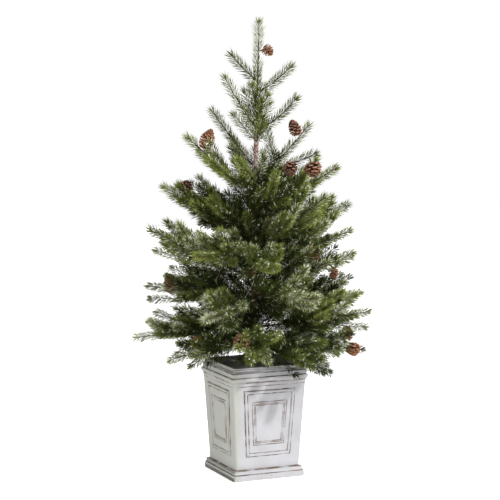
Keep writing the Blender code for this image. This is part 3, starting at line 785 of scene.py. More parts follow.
# A rule: where the first twig leaves and how far apart they are, the share of what is left of
# the line that each is long, their least and most length, the length of tip that stays single,
# their angle and how they turn round the line, in degrees, the length of a step, how much a step
# curls forwards and lifts, how much turn, angle, length and spacing vary, and how clear they keep
# of other branches' room and of limbs and cones.
Rule = namedtuple(
    "Rule", "first spacing share least most alone angle rolls step curl lift varies margin clear",
    defaults=(SHOOT_STEP, 0.045, 0.020,
              ((-18.0, 18.0), (0.85, 1.15), (0.8, 1.12), (0.8, 1.2)), 0.0008, 0.002))
TWIGS = Rule(0.0185, 0.0185, 0.50, 0.030, 0.120, 0.120, 34.0,
             (12.0, 155.0, 62.0, -28.0, 118.0, 205.0), 0.030, 0.08, 0.10,
             ((-12.0, 12.0), (0.88, 1.12), (0.85, 1.1), (0.85, 1.15)),
             CELL_MARGIN + TWIG_RADIUS, LIMB_MARGIN)
BETWEEN = Rule(0.012, 0.020, 0.50, 0.035, 0.125, 0.110, 28.0,
               (100.0, -15.0, 165.0, 60.0, -60.0, 185.0, 130.0, 25.0), margin=-0.004)
ON_TWIGS = Rule(0.016, 0.034, 0.60, 0.020, 0.070, 0.066, 26.0,
                (10.0, 172.0, -25.0, 150.0, 75.0, 200.0))
INNER = Rule(0.006, 0.010, 0.0, 0.080, 0.080, 0.0, 46.0,
             (90.0, -90.0, 0.0, 180.0, 45.0, -135.0, 135.0, -45.0), margin=-0.020)
INNER_STRETCH = (0.05, 0.42)
ON_POLE = Rule(0.0, 0.0050, 0.0, 0.100, 0.100, 0.0, 58.0, golden_rolls(64),
               margin=-1.0, clear=-0.02)
POLE_STRETCH = (0.345, 0.800)
WHORL = Rule(0.0, 0.0085, 0.0, 0.068, 0.068, 0.0, 37.0, golden_rolls(16),
             margin=-1.0, clear=-0.02)
WHORL_STRETCH = (0.912, 0.985)

# Single sprays set where the rules leave a hollow in the outline: the branch they leave and the
# share along it, their heading, and how far out and up their tip lies from there.
Sprig = namedtuple("Sprig", "branch share heading reach rise")
SPRIG_SAG = 0.03
SPRIGS = table(Sprig, """
upper_right       .35 150 .024  .098
upper_front       .05 156 .056  .066
middle_left_high  .02 190 .070  .122
low_right_high    .50 342 .115  .025
low_right         .45 346 .120  .060
foot_right        .50 336 .135 -.018
low_left_high     .35 170 .160  .035
low_left          .35 165 .170 -.018
foot_left_front   .45 175 .062 -.045
""")


# %% Where each branch's needles begin and end
def cone_place(cone, route, start, end):
    """Where a cone's wire leaves the stem, the cone's middle, and the way its tip points."""
    share = start + cone.share * (end - start)
    side, up = cross_frame(route.direction(share))
    turn = math.radians(cone.turn)
    out = math.cos(turn) * up + math.sin(turn) * side
    root = route.point(share)
    upright = Vector((0.0, 0.0, math.copysign(CONE_UPRIGHT, out.z)))
    return root, root + out * cone.off, (out + upright).normalized()


Growth = namedtuple("Growth", "owner route start end frost tint")
balls = [("trunk", trunk_point(height), trunk_radius(height))
         for height in spread(TRUNK_FOOT, TRUNK_TOP, LINE_POINTS)]
growths = []
for branch in BRANCHES:
    route = branch_route(branch)
    start = branch_start(branch, route)
    if branch.bare:
        for point in route.stretch(start, branch.bare, LINE_POINTS // 8):
            balls.append((f"bough_{branch.name}", point, BOUGH_FOOT_RADIUS))
        start = branch.bare + GAP / route.length
    end = 1.0 - NEEDLE_FORWARD / route.length
    growths.append(Growth(branch.name, route, start, end, branch.frost, branch.tint))
route = leader_route()
start, end = GAP / route.length, 1.0 - NEEDLE_FORWARD / route.length
growths.append(Growth(LEADER, route, start, end, LEADER_FROST, LEADER_TINT))
lines = []
cones_placed = []
for owner, route, start, end, _, _ in growths:
    lines += [(owner, point) for point in route.stretch(start, 1.0, LINE_POINTS // 3)]
    for cone in CONES:
        if cone.branch == owner:
            root, centre, axis = cone_place(cone, route, start, end)
            cones_placed.append((cone, root, centre, axis))
            for step in (-0.25, 0.0, 0.25):
                balls.append((owner, centre + axis * step * cone.length, cone.width / 2))
line_owners, line_points = (np.array(part) for part in zip(*lines))
ball_owners, ball_centres, ball_sizes = (np.array(part) for part in zip(*balls))
print(len(lines), "points share out the room")


def is_free(owner, point, margin, clear_by):
    """Whether a point is in its owner's room, and clear of the planter, limbs and cones."""
    away = np.linalg.norm(line_points - np.array(point), axis=1)
    mine = line_owners == owner
    if away[~mine].min() - away[mine].min() < 2.0 * margin:
        return False
    outward = max(abs(point.x), abs(point.y))
    if point.z < POT_HEIGHT + margin and outward < CORNICE_HALF + margin:
        return False
    clear = np.linalg.norm(ball_centres - np.array(point), axis=1) - ball_sizes
    return clear[ball_owners != owner].min() > clear_by


# %% Twigs and shoots
# A line to grow on is a function that gives its point and direction a length along, and its reach.
def on_stem(growth):
    def place_at(along):
        share = growth.start + along / growth.route.length
        return growth.route.point(share), growth.route.direction(share)
    return place_at, growth.route.length * (growth.end - growth.start)


def on_points(points):
    lengths = [0.0]
    for a, b in zip(points, points[1:]):
        lengths.append(lengths[-1] + (b - a).length)

    def place_at(along):
        index = next(i for i in range(1, len(lengths)) if lengths[i] >= along)
        gone = (along - lengths[index - 1]) / (lengths[index] - lengths[index - 1])
        direction = (points[index] - points[index - 1]).normalized()
        return points[index - 1].lerp(points[index], gone), direction
    return place_at, lengths[-1]


def grow(line, owner, chance, rule):
    """The twigs that leave a line by a rule, each as a list of points."""
    place_at, reach = line
    turns, angles, lengths, spacings = rule.varies
    grown = []
    along = rule.first
    roll = chance.randrange(len(rule.rolls))
    while along < reach - rule.alone:
        root, direction = place_at(along)
        side, up = cross_frame(direction)
        turn = math.radians(rule.rolls[roll % len(rule.rolls)] + chance.uniform(*turns))
        aside = math.cos(turn) * side + math.sin(turn) * up
        angle = math.radians(rule.angle) * chance.uniform(*angles)
        heading = math.cos(angle) * direction + math.sin(angle) * aside
        length = min(rule.share * (reach - along) + rule.least, rule.most)
        length *= chance.uniform(*lengths)
        steps = max(2, round(length / rule.step))
        twig = [root]
        for _ in range(steps):
            heading = (heading + rule.curl * direction + rule.lift * UP).normalized()
            point = twig[-1] + heading * length / steps
            if not is_free(owner, point, rule.margin, rule.clear):
                break
            twig.append(point)
        if len(twig) > 2:
            grown.append(twig)
        along += rule.spacing * chance.uniform(*spacings)
        roll += 1
    return grown


def walk(points, gap):
    """The same line with points at even gaps, rounded at its bends."""
    padded = [2 * points[0] - points[1], *points, 2 * points[-1] - points[-2]]
    fine = []
    for a, b, c, d in zip(padded, padded[1:], padded[2:], padded[3:]):
        steps = max(1, round((c - b).length / gap))
        for step in range(steps):
            t = step / steps
            fine.append(0.5 * (2 * b + (c - a) * t + (2 * a - 5 * b + 4 * c - d) * t * t
                               + (3 * b - 3 * c + d - a) * t ** 3))
    return fine + [points[-1]]


def enough(length):
    """How many steps a stem or shoot of this length is drawn in."""
    return max(4, round(length / SHOOT_STEP))


Shoot = namedtuple("Shoot", "points radius order growth")
STEM, TWIG, FINE, INNERMOST, IN_WHORL = range(5)
STEM_CORE = STEM_RADIUS * 0.6
TWIG_CORE = 0.0014
BETWEEN_CORE = 0.0012
FINE_CORE = 0.0010
shoots = []
for growth in growths:
    chance = random.Random(f"shoots {growth.owner}")
    route = growth.route
    stem_line = on_stem(growth)
    stem = route.stretch(growth.start, growth.end, enough(stem_line[1]))
    shoots.append(Shoot(stem, STEM_CORE, STEM, growth))
    if route.foot.z > TWIGGED_BELOW:
        continue
    for coarse in grow(stem_line, growth.owner, random.Random(f"{SEED} {growth.owner}"), TWIGS):
        twig = walk(coarse, SHOOT_STEP)
        shoots.append(Shoot(twig, TWIG_CORE, TWIG, growth))
        for points in grow(on_points(twig), growth.owner, chance, ON_TWIGS):
            shoots.append(Shoot(points, FINE_CORE, FINE, growth))
    if route.foot.z > FILLED_BELOW:
        continue
    for points in grow(on_points(stem), growth.owner, chance, BETWEEN):
        shoots.append(Shoot(points, BETWEEN_CORE, TWIG, growth))
    inner = route.stretch(*INNER_STRETCH, enough(route.length * INNER_STRETCH[1]))
    for points in grow(on_points(inner), growth.owner, chance, INNER):
        shoots.append(Shoot(points, FINE_CORE, INNERMOST, growth))
for rule, (low, high), order in ((ON_POLE, POLE_STRETCH, INNERMOST),
                                 (WHORL, WHORL_STRETCH, IN_WHORL)):
    chance = random.Random(f"pole {low}")
    heights = spread(low, high, round((high - low) / SHOOT_STEP))
    pole_line = on_points([trunk_point(height) for height in heights])
    for points in grow(pole_line, LEADER, chance, rule):
        nearest = min(growths, key=lambda g: (g.route.point(0.25) - points[-1]).length)
        shoots.append(Shoot(points, FINE_CORE, order, nearest))
for sprig in SPRIGS:
    growth = next(growth for growth in growths if growth.owner == sprig.branch)
    root = growth.route.point(sprig.share)
    heading = math.radians(sprig.heading)
    way = Vector((math.cos(heading), math.sin(heading), 0.0))
    route = Route(root, root + sprig.reach * way + sprig.rise * UP, SPRIG_SAG * sprig.reach)
    points = route.stretch(0.0, 1.0, enough(route.length))
    shoots.append(Shoot(points, TWIG_CORE, TWIG, growth))
total = sum((b - a).length for s in shoots for a, b in zip(s.points, s.points[1:]))
print(len(shoots), "stems, twigs and shoots,", round(total, 1), "m in all")

# %% [markdown]
# ## Joining thousands of small things
#
# Needles by the ten thousand can't each be an object.  One needle is modelled once, and its few
# vertices are then written out for every place at once as arrays: each place has three axes and
# an origin, and one product of arrays gives every vertex.  The result is a single mesh.

# %% Copies of a small mesh as one mesh
def template(bm):
    """A bmesh's points and triangles as arrays."""
    bmesh.ops.triangulate(bm, faces=bm.faces)
    bmesh.ops.recalc_face_normals(bm, faces=bm.faces)
    points = np.array([vert.co[:] for vert in bm.verts])
    triangles = np.array([[vert.index for vert in face.verts] for face in bm.faces])
    bm.free()
    return points, triangles


def mesh_of(name, points, triangles, material_index=None):
    mesh = bpy.data.meshes.new(name)
    mesh.vertices.add(len(points))
    mesh.vertices.foreach_set("co", np.ascontiguousarray(points, np.float32).ravel())
    mesh.loops.add(triangles.size)
    mesh.loops.foreach_set("vertex_index", np.ascontiguousarray(triangles, np.int32).ravel())
    mesh.polygons.add(len(triangles))
    mesh.polygons.foreach_set("loop_start", np.arange(0, triangles.size, 3, dtype=np.int32))
    if material_index is not None:
        mesh.polygons.foreach_set("material_index", np.ascontiguousarray(material_index, np.int32))
    mesh.update(calc_edges=True)
    return mesh


def copies(shape, axes, origins):
    """The shape's points and triangles at every place: axes is n x 3 x 3, in rows."""
    points, triangles = shape
    moved = np.einsum("vi,nij->nvj", points, axes) + origins[:, None, :]
    shift = np.arange(len(origins))[:, None, None] * len(points)
    return moved.reshape(-1, 3), (triangles[None] + shift).reshape(-1, 3)


# %% The twigs as one mesh of four-sided tubes
def tubes(lines, sides=4):
    """Closed tubes along lines of (points, first radius, last radius)."""
    angles = [math.tau * corner / sides for corner in range(sides)]
    all_points = []
    all_triangles = []
    for points, first, last in lines:
        start = len(all_points)
        end = start + (len(points) - 1) * sides
        for index, point in enumerate(points):
            before, after = points[max(index - 1, 0)], points[min(index + 1, len(points) - 1)]
            side, up = cross_frame((after - before).normalized())
            radius = first + (last - first) * index / (len(points) - 1)
            all_points += [point + radius * (math.cos(angle) * up + math.sin(angle) * side)
                           for angle in angles]
        for low in range(start, end, sides):
            for corner in range(sides):
                a, b = low + corner, low + (corner + 1) % sides
                all_triangles += [(a, b, b + sides), (a, b + sides, a + sides)]
        for corner in range(1, sides - 1):
            all_triangles += [(start, start + corner + 1, start + corner),
                              (end, end + corner, end + corner + 1)]
    return np.array([p[:] for p in all_points]), np.array(all_triangles)


twig_wood, _, _ = mottled(
    "twig_wood", (45.0, 2.0, 0.35, 0.65), (tone(52, 48, 24), tone(92, 68, 46)),
    (500.0, 3.0, 0.55, 0.75), tone(130, 112, 88), 0.6, 0.0005,
    Roughness=0.75, Specular_IOR_Level=0.25)
TIP_THINNER = 0.55
twigs = mesh_of("twigs", *tubes([(s.points, s.radius, s.radius * TIP_THINNER) for s in shoots]))
piece_from(twigs, "twigs", [twig_wood], foliage_nodes)

# %% [markdown]
# ## The needles
#
# A plastic needle is about 2.5 cm long, widest half way up, and bent a little towards the shoot's
# end.  Six triangles are enough: three from its root to its widest place and three above.
# Needles stand round the shoot in a spiral, a golden angle apart, so that no two rows line up,
# and lean forwards until they stand about 50 degrees off the shoot.

# %% One needle
def needle_shape(bend):
    bm = bmesh.new()
    bmesh.ops.create_cone(bm, cap_ends=True, segments=3, radius1=1.0, radius2=0.0, depth=0.45)
    bmesh.ops.translate(bm, vec=(0.0, 0.0, 0.775), verts=bm.verts)
    base = min(bm.faces, key=lambda face: face.calc_center_median().z)
    for vert in base.verts:
        vert.co.y += bend * 0.3
    root = bmesh.ops.poke(bm, faces=[base])["verts"][0]
    root.co = (0.0, 0.0, 0.0)
    tip = max(bm.verts, key=lambda vert: vert.co.z)
    tip.co = (0.0, bend, 1.0)
    return template(bm)


NEEDLE_LENGTH = 0.0260
NEEDLE_HALF = 0.00100
NEEDLE_LEAN = math.radians(50.0)
NEEDLE_SPACING = {STEM: 0.00058, TWIG: 0.00062, FINE: 0.0007, INNERMOST: 0.0010, IN_WHORL: 0.0009}
SPARSER = 0.35                   # how much further apart the needles stand at the top
SPARSER_FROM = 0.72
SPARSER_OVER = 0.20
BARE_ROOT = 0.004
FEWEST_NEEDLES = 6
TIP_NEEDLES = 12
TIP_SPREAD = 0.004
UNEVEN = 0.6                     # how far needles stray from even places, in spacings
TURN_STRAYS, LEAN_STRAYS = 0.16, 0.06
CLOSING_OVER = 0.012             # the last stretch, in which needles lean further forwards
LEAN_SHARES = (0.70, 0.30)       # of the lean: what is kept at the tip, and the rest
TIP_LEANS = (0.05, 0.75)         # of the lean: the least at the very tip, and its range
SIZES = (0.82, 1.08)
GOLDEN = math.radians(137.508)
NEEDLE_BEND = 1.6                # in needle half widths
needle = needle_shape(NEEDLE_BEND)
print("one needle:", len(needle[1]), "triangles")

# %% [markdown]
# Colour is dealt out by spray.  Each shoot draws a green, or a dusted or flocked colour, by the
# odds of its branch, and its needles are mixed by the shares of that colour.  So each kind of
# needle is a plain colour of its own and needs no picture, and neighbouring sprays stand out
# from each other as on the real tree.

# %% The needles' finishes
def needle_finish(name, dark, light, flock=0.0, rough=0.5):
    """A needle green that varies a little from place to place, with flock on its upper side."""
    finish = Finish(f"needles_{name}", Specular_IOR_Level=0.15)
    drift = finish.noise(38.0, 2.0)
    fine = finish.noise(420.0, 2.0)
    green = finish.blend((drift * 0.7 + fine * 0.5).rises(0.42, 0.78), dark, light)
    if flock:
        facing = finish.axes("Normal")[2]
        dusting = finish.noise(650.0, 2.0)
        lying = (facing * 0.35 + dusting).rises(0.62 - 0.30 * flock, 0.80 - 0.20 * flock)
        green = finish.blend(lying * (0.55 + 0.4 * flock), green, tone(230, 230, 204))
        finish.feed("Roughness", rough + lying * 0.3)
    else:
        finish.feed("Roughness", rough + fine * 0.2)
    finish.feed("Base Color", green)
    finish.bump(fine, 0.0003, 0.4)
    return finish


NEEDLE_KINDS = {
    # The deep green is partly painted shade: its darkest tone is the dark of the crown's shaded
    # hollows, and the innermost shoots get it so that the crown's middle looks shaded.
    "deep": needle_finish("deep", tone(32, 42, 11), tone(60, 74, 21)),
    "mid": needle_finish("mid", tone(72, 87, 30), tone(110, 121, 52)),
    "bright": needle_finish("bright", tone(104, 118, 46), tone(146, 154, 80)),
    "dusted": needle_finish("dusted", tone(92, 104, 50), tone(136, 144, 80), 0.45, 0.65),
    "flocked": needle_finish("flocked", tone(156, 162, 116), tone(210, 212, 174), 1.0, 0.8),
}
# The shares of each kind of needle in a spray of each colour
MIXES = {
    "deep": {"deep": 0.95, "flocked": 0.05},
    "mid": {"mid": 0.94, "flocked": 0.06},
    "bright": {"bright": 0.94, "flocked": 0.06},
    "dusted": {"mid": 0.58, "dusted": 0.30, "flocked": 0.12},
    "flocked": {"mid": 0.30, "dusted": 0.42, "flocked": 0.28},
}


WHORL_DUSTED = 0.80
# The share of innermost shoots given the deep green as painted shade in the middle of the crown.
INNERMOST_SHADE = 0.85
FROST_ODDS = 0.8                 # of a frosty branch's shoots, how many are dusted or flocked
FLOCKED_OF_FROSTED = 0.30
TINT_SPREAD = 0.45
MID_FROM, BRIGHT_FROM = 0.28, 0.72


def spray_kind(growth, order, chance):
    """A colour for one shoot, by its branch's odds; most of the innermost get the deep green as
    painted shade.
    """
    if order == IN_WHORL:
        return "dusted" if chance.random() < WHORL_DUSTED else "mid"
    if order == INNERMOST and chance.random() < INNERMOST_SHADE:
        return "deep"
    if chance.random() < growth.frost * FROST_ODDS:
        return "flocked" if chance.random() < FLOCKED_OF_FROSTED else "dusted"
    lean = growth.tint + chance.uniform(-TINT_SPREAD, TINT_SPREAD)
    return "deep" if lean < MID_FROM else "mid" if lean < BRIGHT_FROM else "bright"


# %% Places for every needle
def unit(rows):
    """Every row of an array made one long."""
    return rows / np.maximum(np.linalg.norm(rows, axis=1), 1e-6)[:, None]


def needle_places(shoot, numbers):
    """Roots, directions, forward directions and lengths of a shoot's needles, as arrays."""
    points = np.array([p[:] for p in shoot.points])
    steps = np.linalg.norm(np.diff(points, axis=0), axis=1)
    lengths = np.concatenate([[0.0], np.cumsum(steps)])
    reach = lengths[-1]
    first = 0.0 if shoot.order == STEM else BARE_ROOT
    high = min(max((shoot.points[0].z - SPARSER_FROM) / SPARSER_OVER, 0.0), 1.0)
    thin = 1.0 + SPARSER * high
    count = max(FEWEST_NEEDLES, int((reach - first) / (NEEDLE_SPACING[shoot.order] * thin)))
    along = np.arange(count) + numbers.random(count) * UNEVEN
    along = first + (reach - first) * along / count
    along = np.concatenate([along, reach - numbers.random(TIP_NEEDLES) * TIP_SPREAD])
    count += TIP_NEEDLES
    roots = np.stack([np.interp(along, lengths, points[:, axis]) for axis in range(3)], axis=1)
    index = np.clip(np.searchsorted(lengths, along) - 1, 0, len(steps) - 1)
    forward = np.diff(points, axis=0)[index] / steps[index][:, None]
    side = unit(np.stack([-forward[:, 1], forward[:, 0], np.zeros(count)], axis=1))
    up = np.cross(forward, side)
    angle = np.arange(count) * GOLDEN + numbers.normal(0.0, TURN_STRAYS, count)
    out = np.cos(angle)[:, None] * side + np.sin(angle)[:, None] * up
    closing = np.clip((reach - along) / CLOSING_OVER, 0.0, 1.0)
    lean = NEEDLE_LEAN * (LEAN_SHARES[0] + LEAN_SHARES[1] * closing)
    lean += numbers.normal(0.0, LEAN_STRAYS, count)
    lean[-TIP_NEEDLES:] = TIP_LEANS[0] + TIP_LEANS[1] * numbers.random(TIP_NEEDLES)
    lean[-TIP_NEEDLES:] *= NEEDLE_LEAN
    way = np.cos(lean)[:, None] * forward + np.sin(lean)[:, None] * out
    size = NEEDLE_LENGTH * (0.8 + 0.2 * thin) * numbers.uniform(*SIZES, count)
    return roots, way, forward, size


numbers = np.random.default_rng(SEED)
gathered = {kind: [] for kind in NEEDLE_KINDS}


def gather(places, chosen):
    """Put the places for which chosen[kind] is true with their kind of needle."""
    for kind, mine in chosen.items():
        gathered[kind].append([part[mine] for part in places])


for shoot in shoots:
    spot = f"{len(shoot.points)} {shoot.points[-1].x:.5f}"
    chance = random.Random(f"colour {shoot.growth.owner} {spot}")
    mix = MIXES[spray_kind(shoot.growth, shoot.order, chance)]
    places = needle_places(shoot, numbers)
    drawn = numbers.choice(list(mix), len(places[0]), p=list(mix.values()))
    gather(places, {kind: drawn == kind for kind in mix})
print({kind: sum(len(part[0]) for part in parts) for kind, parts in gathered.items()})

# %% [markdown]
# The top of the pole is clothed with needles as well, between the highest branches.  They leave
# the pole's surface, so their roots stand off its middle by its radius.

# %% Needles on the pole
BARE_BELOW = 0.925
POLE_NEEDLES = 240
THINNED_OVER = 0.06              # the stretch over which they thin out downwards
DUSTED_BELOW, MID_BELOW = 0.3, 0.8
height = BARE_BELOW + (TRUNK_TOP - BARE_BELOW) * (np.arange(POLE_NEEDLES) + 0.5) / POLE_NEEDLES
odds = np.clip((height - BARE_BELOW) / THINNED_OVER, 0.25, 1.0)
height = height[numbers.random(POLE_NEEDLES) < odds]
count = len(height)
angle = np.arange(count) * GOLDEN
out = np.stack([np.cos(angle), np.sin(angle), np.zeros(count)], axis=1)
middle = np.array([trunk_point(h)[:] for h in height])
radius = np.array([trunk_radius(h) for h in height])
way = unit(0.74 * np.array([0.0, 0.0, 1.0]) + 0.67 * out)
forward = np.tile([0.0, 0.0, 1.0], (count, 1))
size = NEEDLE_LENGTH * numbers.uniform(0.8, 1.0, count)
share = numbers.random(count)
gather((middle + out * (radius * 0.5)[:, None], way, forward, size),
       {"dusted": share < DUSTED_BELOW, "mid": (share >= DUSTED_BELOW) & (share < MID_BELOW),
        "deep": share >= MID_BELOW})


# %% Keep needles out of the planter and the cones, and join them by colour
CONE_ROOM = 2.4                  # 1 would be the spindle that fits the cone's own measures
MOST_TRIANGLES = 195000


def clear_of_things(tips):
    """Which tips are outside the planter and every cone."""
    outward = np.abs(tips[:, :2]).max(axis=1)
    clear = (tips[:, 2] >= POT_HEIGHT + 0.001) | (outward >= CORNICE_HALF + 0.001)
    for cone, _, centre, axis in cones_placed:
        away = tips - np.array(centre)
        lengthwise = away @ np.array(axis)
        across = np.linalg.norm(away - lengthwise[:, None] * np.array(axis), axis=1)
        room = (lengthwise / (cone.length * 0.5)) ** 2 + (across / (cone.width * 0.5)) ** 2
        clear &= room > CONE_ROOM
    return clear


for kind, parts in gathered.items():
    roots, way, forward, size = (np.concatenate(column) for column in zip(*parts))
    free = clear_of_things(roots + way * size[:, None])
    roots, way, forward, size = roots[free], way[free], forward[free], size[free]
    flat = unit(np.cross(way, forward))
    bent = np.cross(flat, way)
    axes = np.stack([flat * NEEDLE_HALF, bent * NEEDLE_HALF, way * size[:, None]], axis=1)
    pieces = math.ceil(len(roots) / (MOST_TRIANGLES // len(needle[1])))
    for number, chosen in enumerate(np.array_split(np.arange(len(roots)), pieces), 1):
        name = f"needles_{kind}_{number}"
        mesh = mesh_of(name, *copies(needle, axes[chosen], roots[chosen]))
        piece_from(mesh, name, [NEEDLE_KINDS[kind]], foliage_nodes)

# %% [markdown]
# ## Flock
#
# The white flock is sprayed on from above with glue and gathers in crumbs, thickest on the flocked
# sprays.  A crumb is a rough ball of twenty faces, squashed and turned at random.

# %% Crumbs of flock
def crumb_shape():
    bm = bmesh.new()
    bmesh.ops.create_icosphere(bm, subdivisions=1, radius=1.0)
    for vert in bm.verts:
        vert.co *= 1.0 + 0.22 * bumpy(*(vert.co * 0.05))
    return template(bm)


flock = Finish("flock", Roughness=0.95, Specular_IOR_Level=0.2)
fluff = flock.noise(900.0, 3.0)
white = flock.blend(fluff.rises(0.35, 0.7), tone(206, 212, 200), tone(240, 242, 236))
flock.feed("Base Color", white)
flock.bump(fluff, 0.0008)

CRUMB_LEAST, CRUMB_MORE = 0.0010, 0.0017
CRUMB_ODDS = {"flocked": 0.08, "dusted": 0.07, "mid": 0.048, "deep": 0.036}
crumb_roots = []
crumb_sizes = []
for kind, odds in CRUMB_ODDS.items():
    for roots, way, _, size in gathered[kind]:
        chosen = (numbers.random(len(roots)) < odds) & (way[:, 2] > -0.2)
        share = numbers.uniform(0.25, 0.95, chosen.sum())
        crumb_roots.append(roots[chosen] + way[chosen] * (size[chosen] * share)[:, None])
        crumb_sizes.append(CRUMB_LEAST + CRUMB_MORE * numbers.random(chosen.sum()) ** 2)
crumb_roots = np.concatenate(crumb_roots)
free = clear_of_things(crumb_roots)
crumb_roots, crumb_sizes = crumb_roots[free], np.concatenate(crumb_sizes)[free]
turns = np.linalg.qr(numbers.normal(size=(len(crumb_roots), 3, 3)))[0]
squash = numbers.uniform(0.6, 1.3, (len(crumb_roots), 3, 1))
axes = turns * squash * crumb_sizes[:, None, None]
crumbs = mesh_of("flock_crumbs", *copies(crumb_shape(), axes, crumb_roots))
piece_from(crumbs, "flock_crumbs", [flock], foliage_nodes)

# %% [markdown]
# ## The pine cones
#
# A cone is a spindle with woody scales in a spiral, again a golden angle apart.  The lowest scales
# stand straight out, the middle ones lean towards the tip, and the last ones close over it.  One
# scale is modelled: a block that widens from its root, thickens at its lip and has its corners
# rounded.

# %% One scale
def scale_shape():
    bm = bmesh.new()
    bmesh.ops.create_cube(bm, size=1.0)
    bmesh.ops.translate(bm, vec=(0.0, 0.0, 0.5), verts=bm.verts)
    long_edges = [e for e in bm.edges if abs(e.verts[0].co.z - e.verts[1].co.z) > 0.5]
    bmesh.ops.subdivide_edges(bm, edges=long_edges, cuts=2, use_grid_fill=True)
    for vert in bm.verts:
        share = vert.co.z
        vert.co.x *= (0.30 + 0.95 * share) if share < 0.7 else (0.98 - 1.1 * (share - 0.7))
        vert.co.y *= 0.10 + 0.16 * share ** 2
        vert.co.y += 0.10 * share ** 2
    return template(bm)


def spindle_shape():
    bm = bmesh.new()
    bmesh.ops.create_uvsphere(bm, u_segments=8, v_segments=6, radius=1.0)
    return template(bm)


BY_CONE = (16.0, 2.0, 0.38, 0.62)          # so wide that neighbouring cones differ
cone_wood, _, rings = mottled(
    "cone_wood", BY_CONE, (tone(42, 24, 17), tone(104, 58, 32)),
    (330.0, 4.0, 0.55, 0.80), tone(128, 82, 54), 1.0, 0.0006, Specular_IOR_Level=0.4)
cone_wood.feed("Roughness", 0.55 + rings * 0.25)
lip_wood, _, _ = mottled(
    "cone_lip", BY_CONE, (tone(86, 54, 40), tone(132, 78, 46)),
    (380.0, 3.0, 0.35, 0.75), tone(186, 146, 116), 1.0, 0.0005,
    Roughness=0.7, Specular_IOR_Level=0.3)

scale = scale_shape()
lip_faces = (scale[0][scale[1]].mean(axis=1)[:, 2] > 0.84).astype(int)
spindle = spindle_shape()
print("one scale:", len(scale[1]), "triangles")

# %% Scales round every cone
SCALES_PER_METRE = 60 / 0.045
FEWEST_SCALES = 38
CORE_WIDTH = 0.20                # half the core's width, in widths of the cone
CORE_REACH = 0.86                # of the cone's half length
SCALES_SPAN = 1.52
LEAN_FIRST, LEAN_CHANGE = 105.0, 92.0
parts = []
for cone, _, centre, axis in cones_placed:
    chance = random.Random(f"cone {cone.branch} {cone.share}")
    side, up = cross_frame(axis)
    half = cone.length / 2
    core = np.array([side[:], up[:], axis[:]])
    core_half = cone.width * CORE_WIDTH
    core *= np.array([core_half, core_half, half * CORE_REACH])[:, None]
    parts.append((*copies(spindle, core[None], np.array([centre[:]])), [0] * len(spindle[1])))
    number = max(FEWEST_SCALES, round(cone.length * SCALES_PER_METRE))
    axes = []
    origins = []
    for index in range(number):
        share = (index + 0.5) / number
        angle = index * GOLDEN + chance.uniform(-0.08, 0.08)
        out = math.cos(angle) * side + math.sin(angle) * up
        swell = math.sin(math.pi * (0.10 + 0.86 * share) ** 0.8)
        lean = math.radians(LEAN_FIRST - LEAN_CHANGE * share + chance.uniform(-6.0, 6.0))
        way = math.cos(lean) * axis + math.sin(lean) * out
        length = cone.width * (0.16 + 0.25 * swell) * chance.uniform(0.92, 1.06)
        width = cone.width * (0.16 + 0.20 * swell)
        flat = axis.cross(out).normalized()
        thick = flat.cross(way).normalized()
        axes.append([flat * width, thick * length, way * length])
        along = axis * half * (-CORE_REACH + SCALES_SPAN * share)
        origins.append(centre + along + out * cone.width * 0.12 * swell)
    parts.append((*copies(scale, np.array(axes), np.array(origins)), list(lip_faces) * number))
before = np.cumsum([0] + [len(points) for points, _, _ in parts])
cone_mesh = mesh_of(
    "pine_cones", np.concatenate([points for points, _, _ in parts]),
    np.concatenate([part[1] + shift for part, shift in zip(parts, before)]),
    np.concatenate([materials for _, _, materials in parts]))
piece_from(cone_mesh, "pine_cones", [cone_wood, lip_wood], foliage_nodes, crease=45.0)

# %% The wires that hold the cones
WIRE_RADIUS = 0.0012
WIRE_SHARE = 0.85                # of the way from the stem to the cone's middle
wires = [([root, root.lerp(centre, WIRE_SHARE)], WIRE_RADIUS, WIRE_RADIUS)
         for _, root, centre, _ in cones_placed]
wire_mesh = mesh_of("cone_wires", *tubes(wires, sides=6))
piece_from(wire_mesh, "cone_wires", [twig_wood], foliage_nodes)

# %% [markdown]
# ## Floor, light and camera
#
# The object stands on a plain pale floor under studio light.  A lamp up at the right in front
# gives the shadows their side, a wide one overhead and a weak one at the left soften them, and the
# pale surround fills the rest.  The camera stands where it sees two sides of the planter, from a
# height close to the top of the tree.

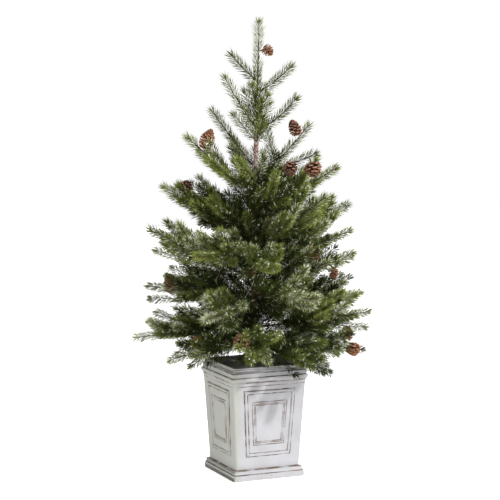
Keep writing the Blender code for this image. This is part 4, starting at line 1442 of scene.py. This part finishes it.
# %% The floor
FLOOR_HALF = 6.0
FLOOR_GLOW = 0.60
ground = bmesh.new()
bmesh.ops.create_grid(ground, x_segments=8, y_segments=8, size=FLOOR_HALF)
ground_mesh = bpy.data.meshes.new("studio_floor")
ground.to_mesh(ground_mesh)
ground.free()
floor = placed("studio_floor", ground_mesh)
paper = Finish("studio_paper", Roughness=0.9, Specular_IOR_Level=0.1)
tooth = paper.noise(8.0, 2.0)
paper.feed("Base Color", paper.blend(tooth, (0.90, 0.90, 0.90), (0.92, 0.92, 0.92)))
paper.shader.inputs["Emission Color"].default_value = (1.0, 1.0, 1.0, 1.0)
paper.shader.inputs["Emission Strength"].default_value = FLOOR_GLOW
ground_mesh.materials.append(paper.material)

# %% The light
SURROUND = 0.20                  # how bright the backdrop is as a light, beside how it looks
world = bpy.data.worlds.new("studio")
bpy.context.scene.world = world
bpy.context.scene.view_settings.view_transform = "Standard"
world.use_nodes = True
backdrop = world.node_tree.nodes["Background"]
backdrop.inputs["Color"].default_value = (1.0, 1.0, 1.0, 1.0)
seen = world.node_tree.nodes.new("ShaderNodeLightPath")
level = world.node_tree.nodes.new("ShaderNodeMapRange")
level.inputs["To Min"].default_value = SURROUND
level.inputs["To Max"].default_value = 1.0
world.node_tree.links.new(seen.outputs["Is Camera Ray"], level.inputs["Value"])
world.node_tree.links.new(level.outputs["Result"], backdrop.inputs["Strength"])


def sun(name, come_from, wide, power):
    """Parallel light from a direction; wide is the angle that its disc takes up in the sky."""
    data = bpy.data.lights.new(name, "SUN")
    data.angle = math.radians(wide)
    data.energy = power
    turn = Vector(come_from).to_track_quat("Z", "Y")
    placed(name, data).rotation_euler = turn.to_euler()


sun("overhead", (0.10, -0.25, 1.0), 100.0, 0.98)
sun("key", (0.86, -1.0, 1.05), 3.0, 3.25)
sun("fill", (-1.0, -0.35, 0.55), 40.0, 1.0)

# %% The camera
camera_data = bpy.data.cameras.new("camera")
camera_data.lens = 137.8
camera_data.sensor_width = 36.0
camera = placed("camera", camera_data)
camera.location = (-2.037, -4.654, 1.2037)
camera.rotation_euler = (math.radians(83.26), 0.0, math.radians(-23.52))
bpy.context.scene.camera = camera
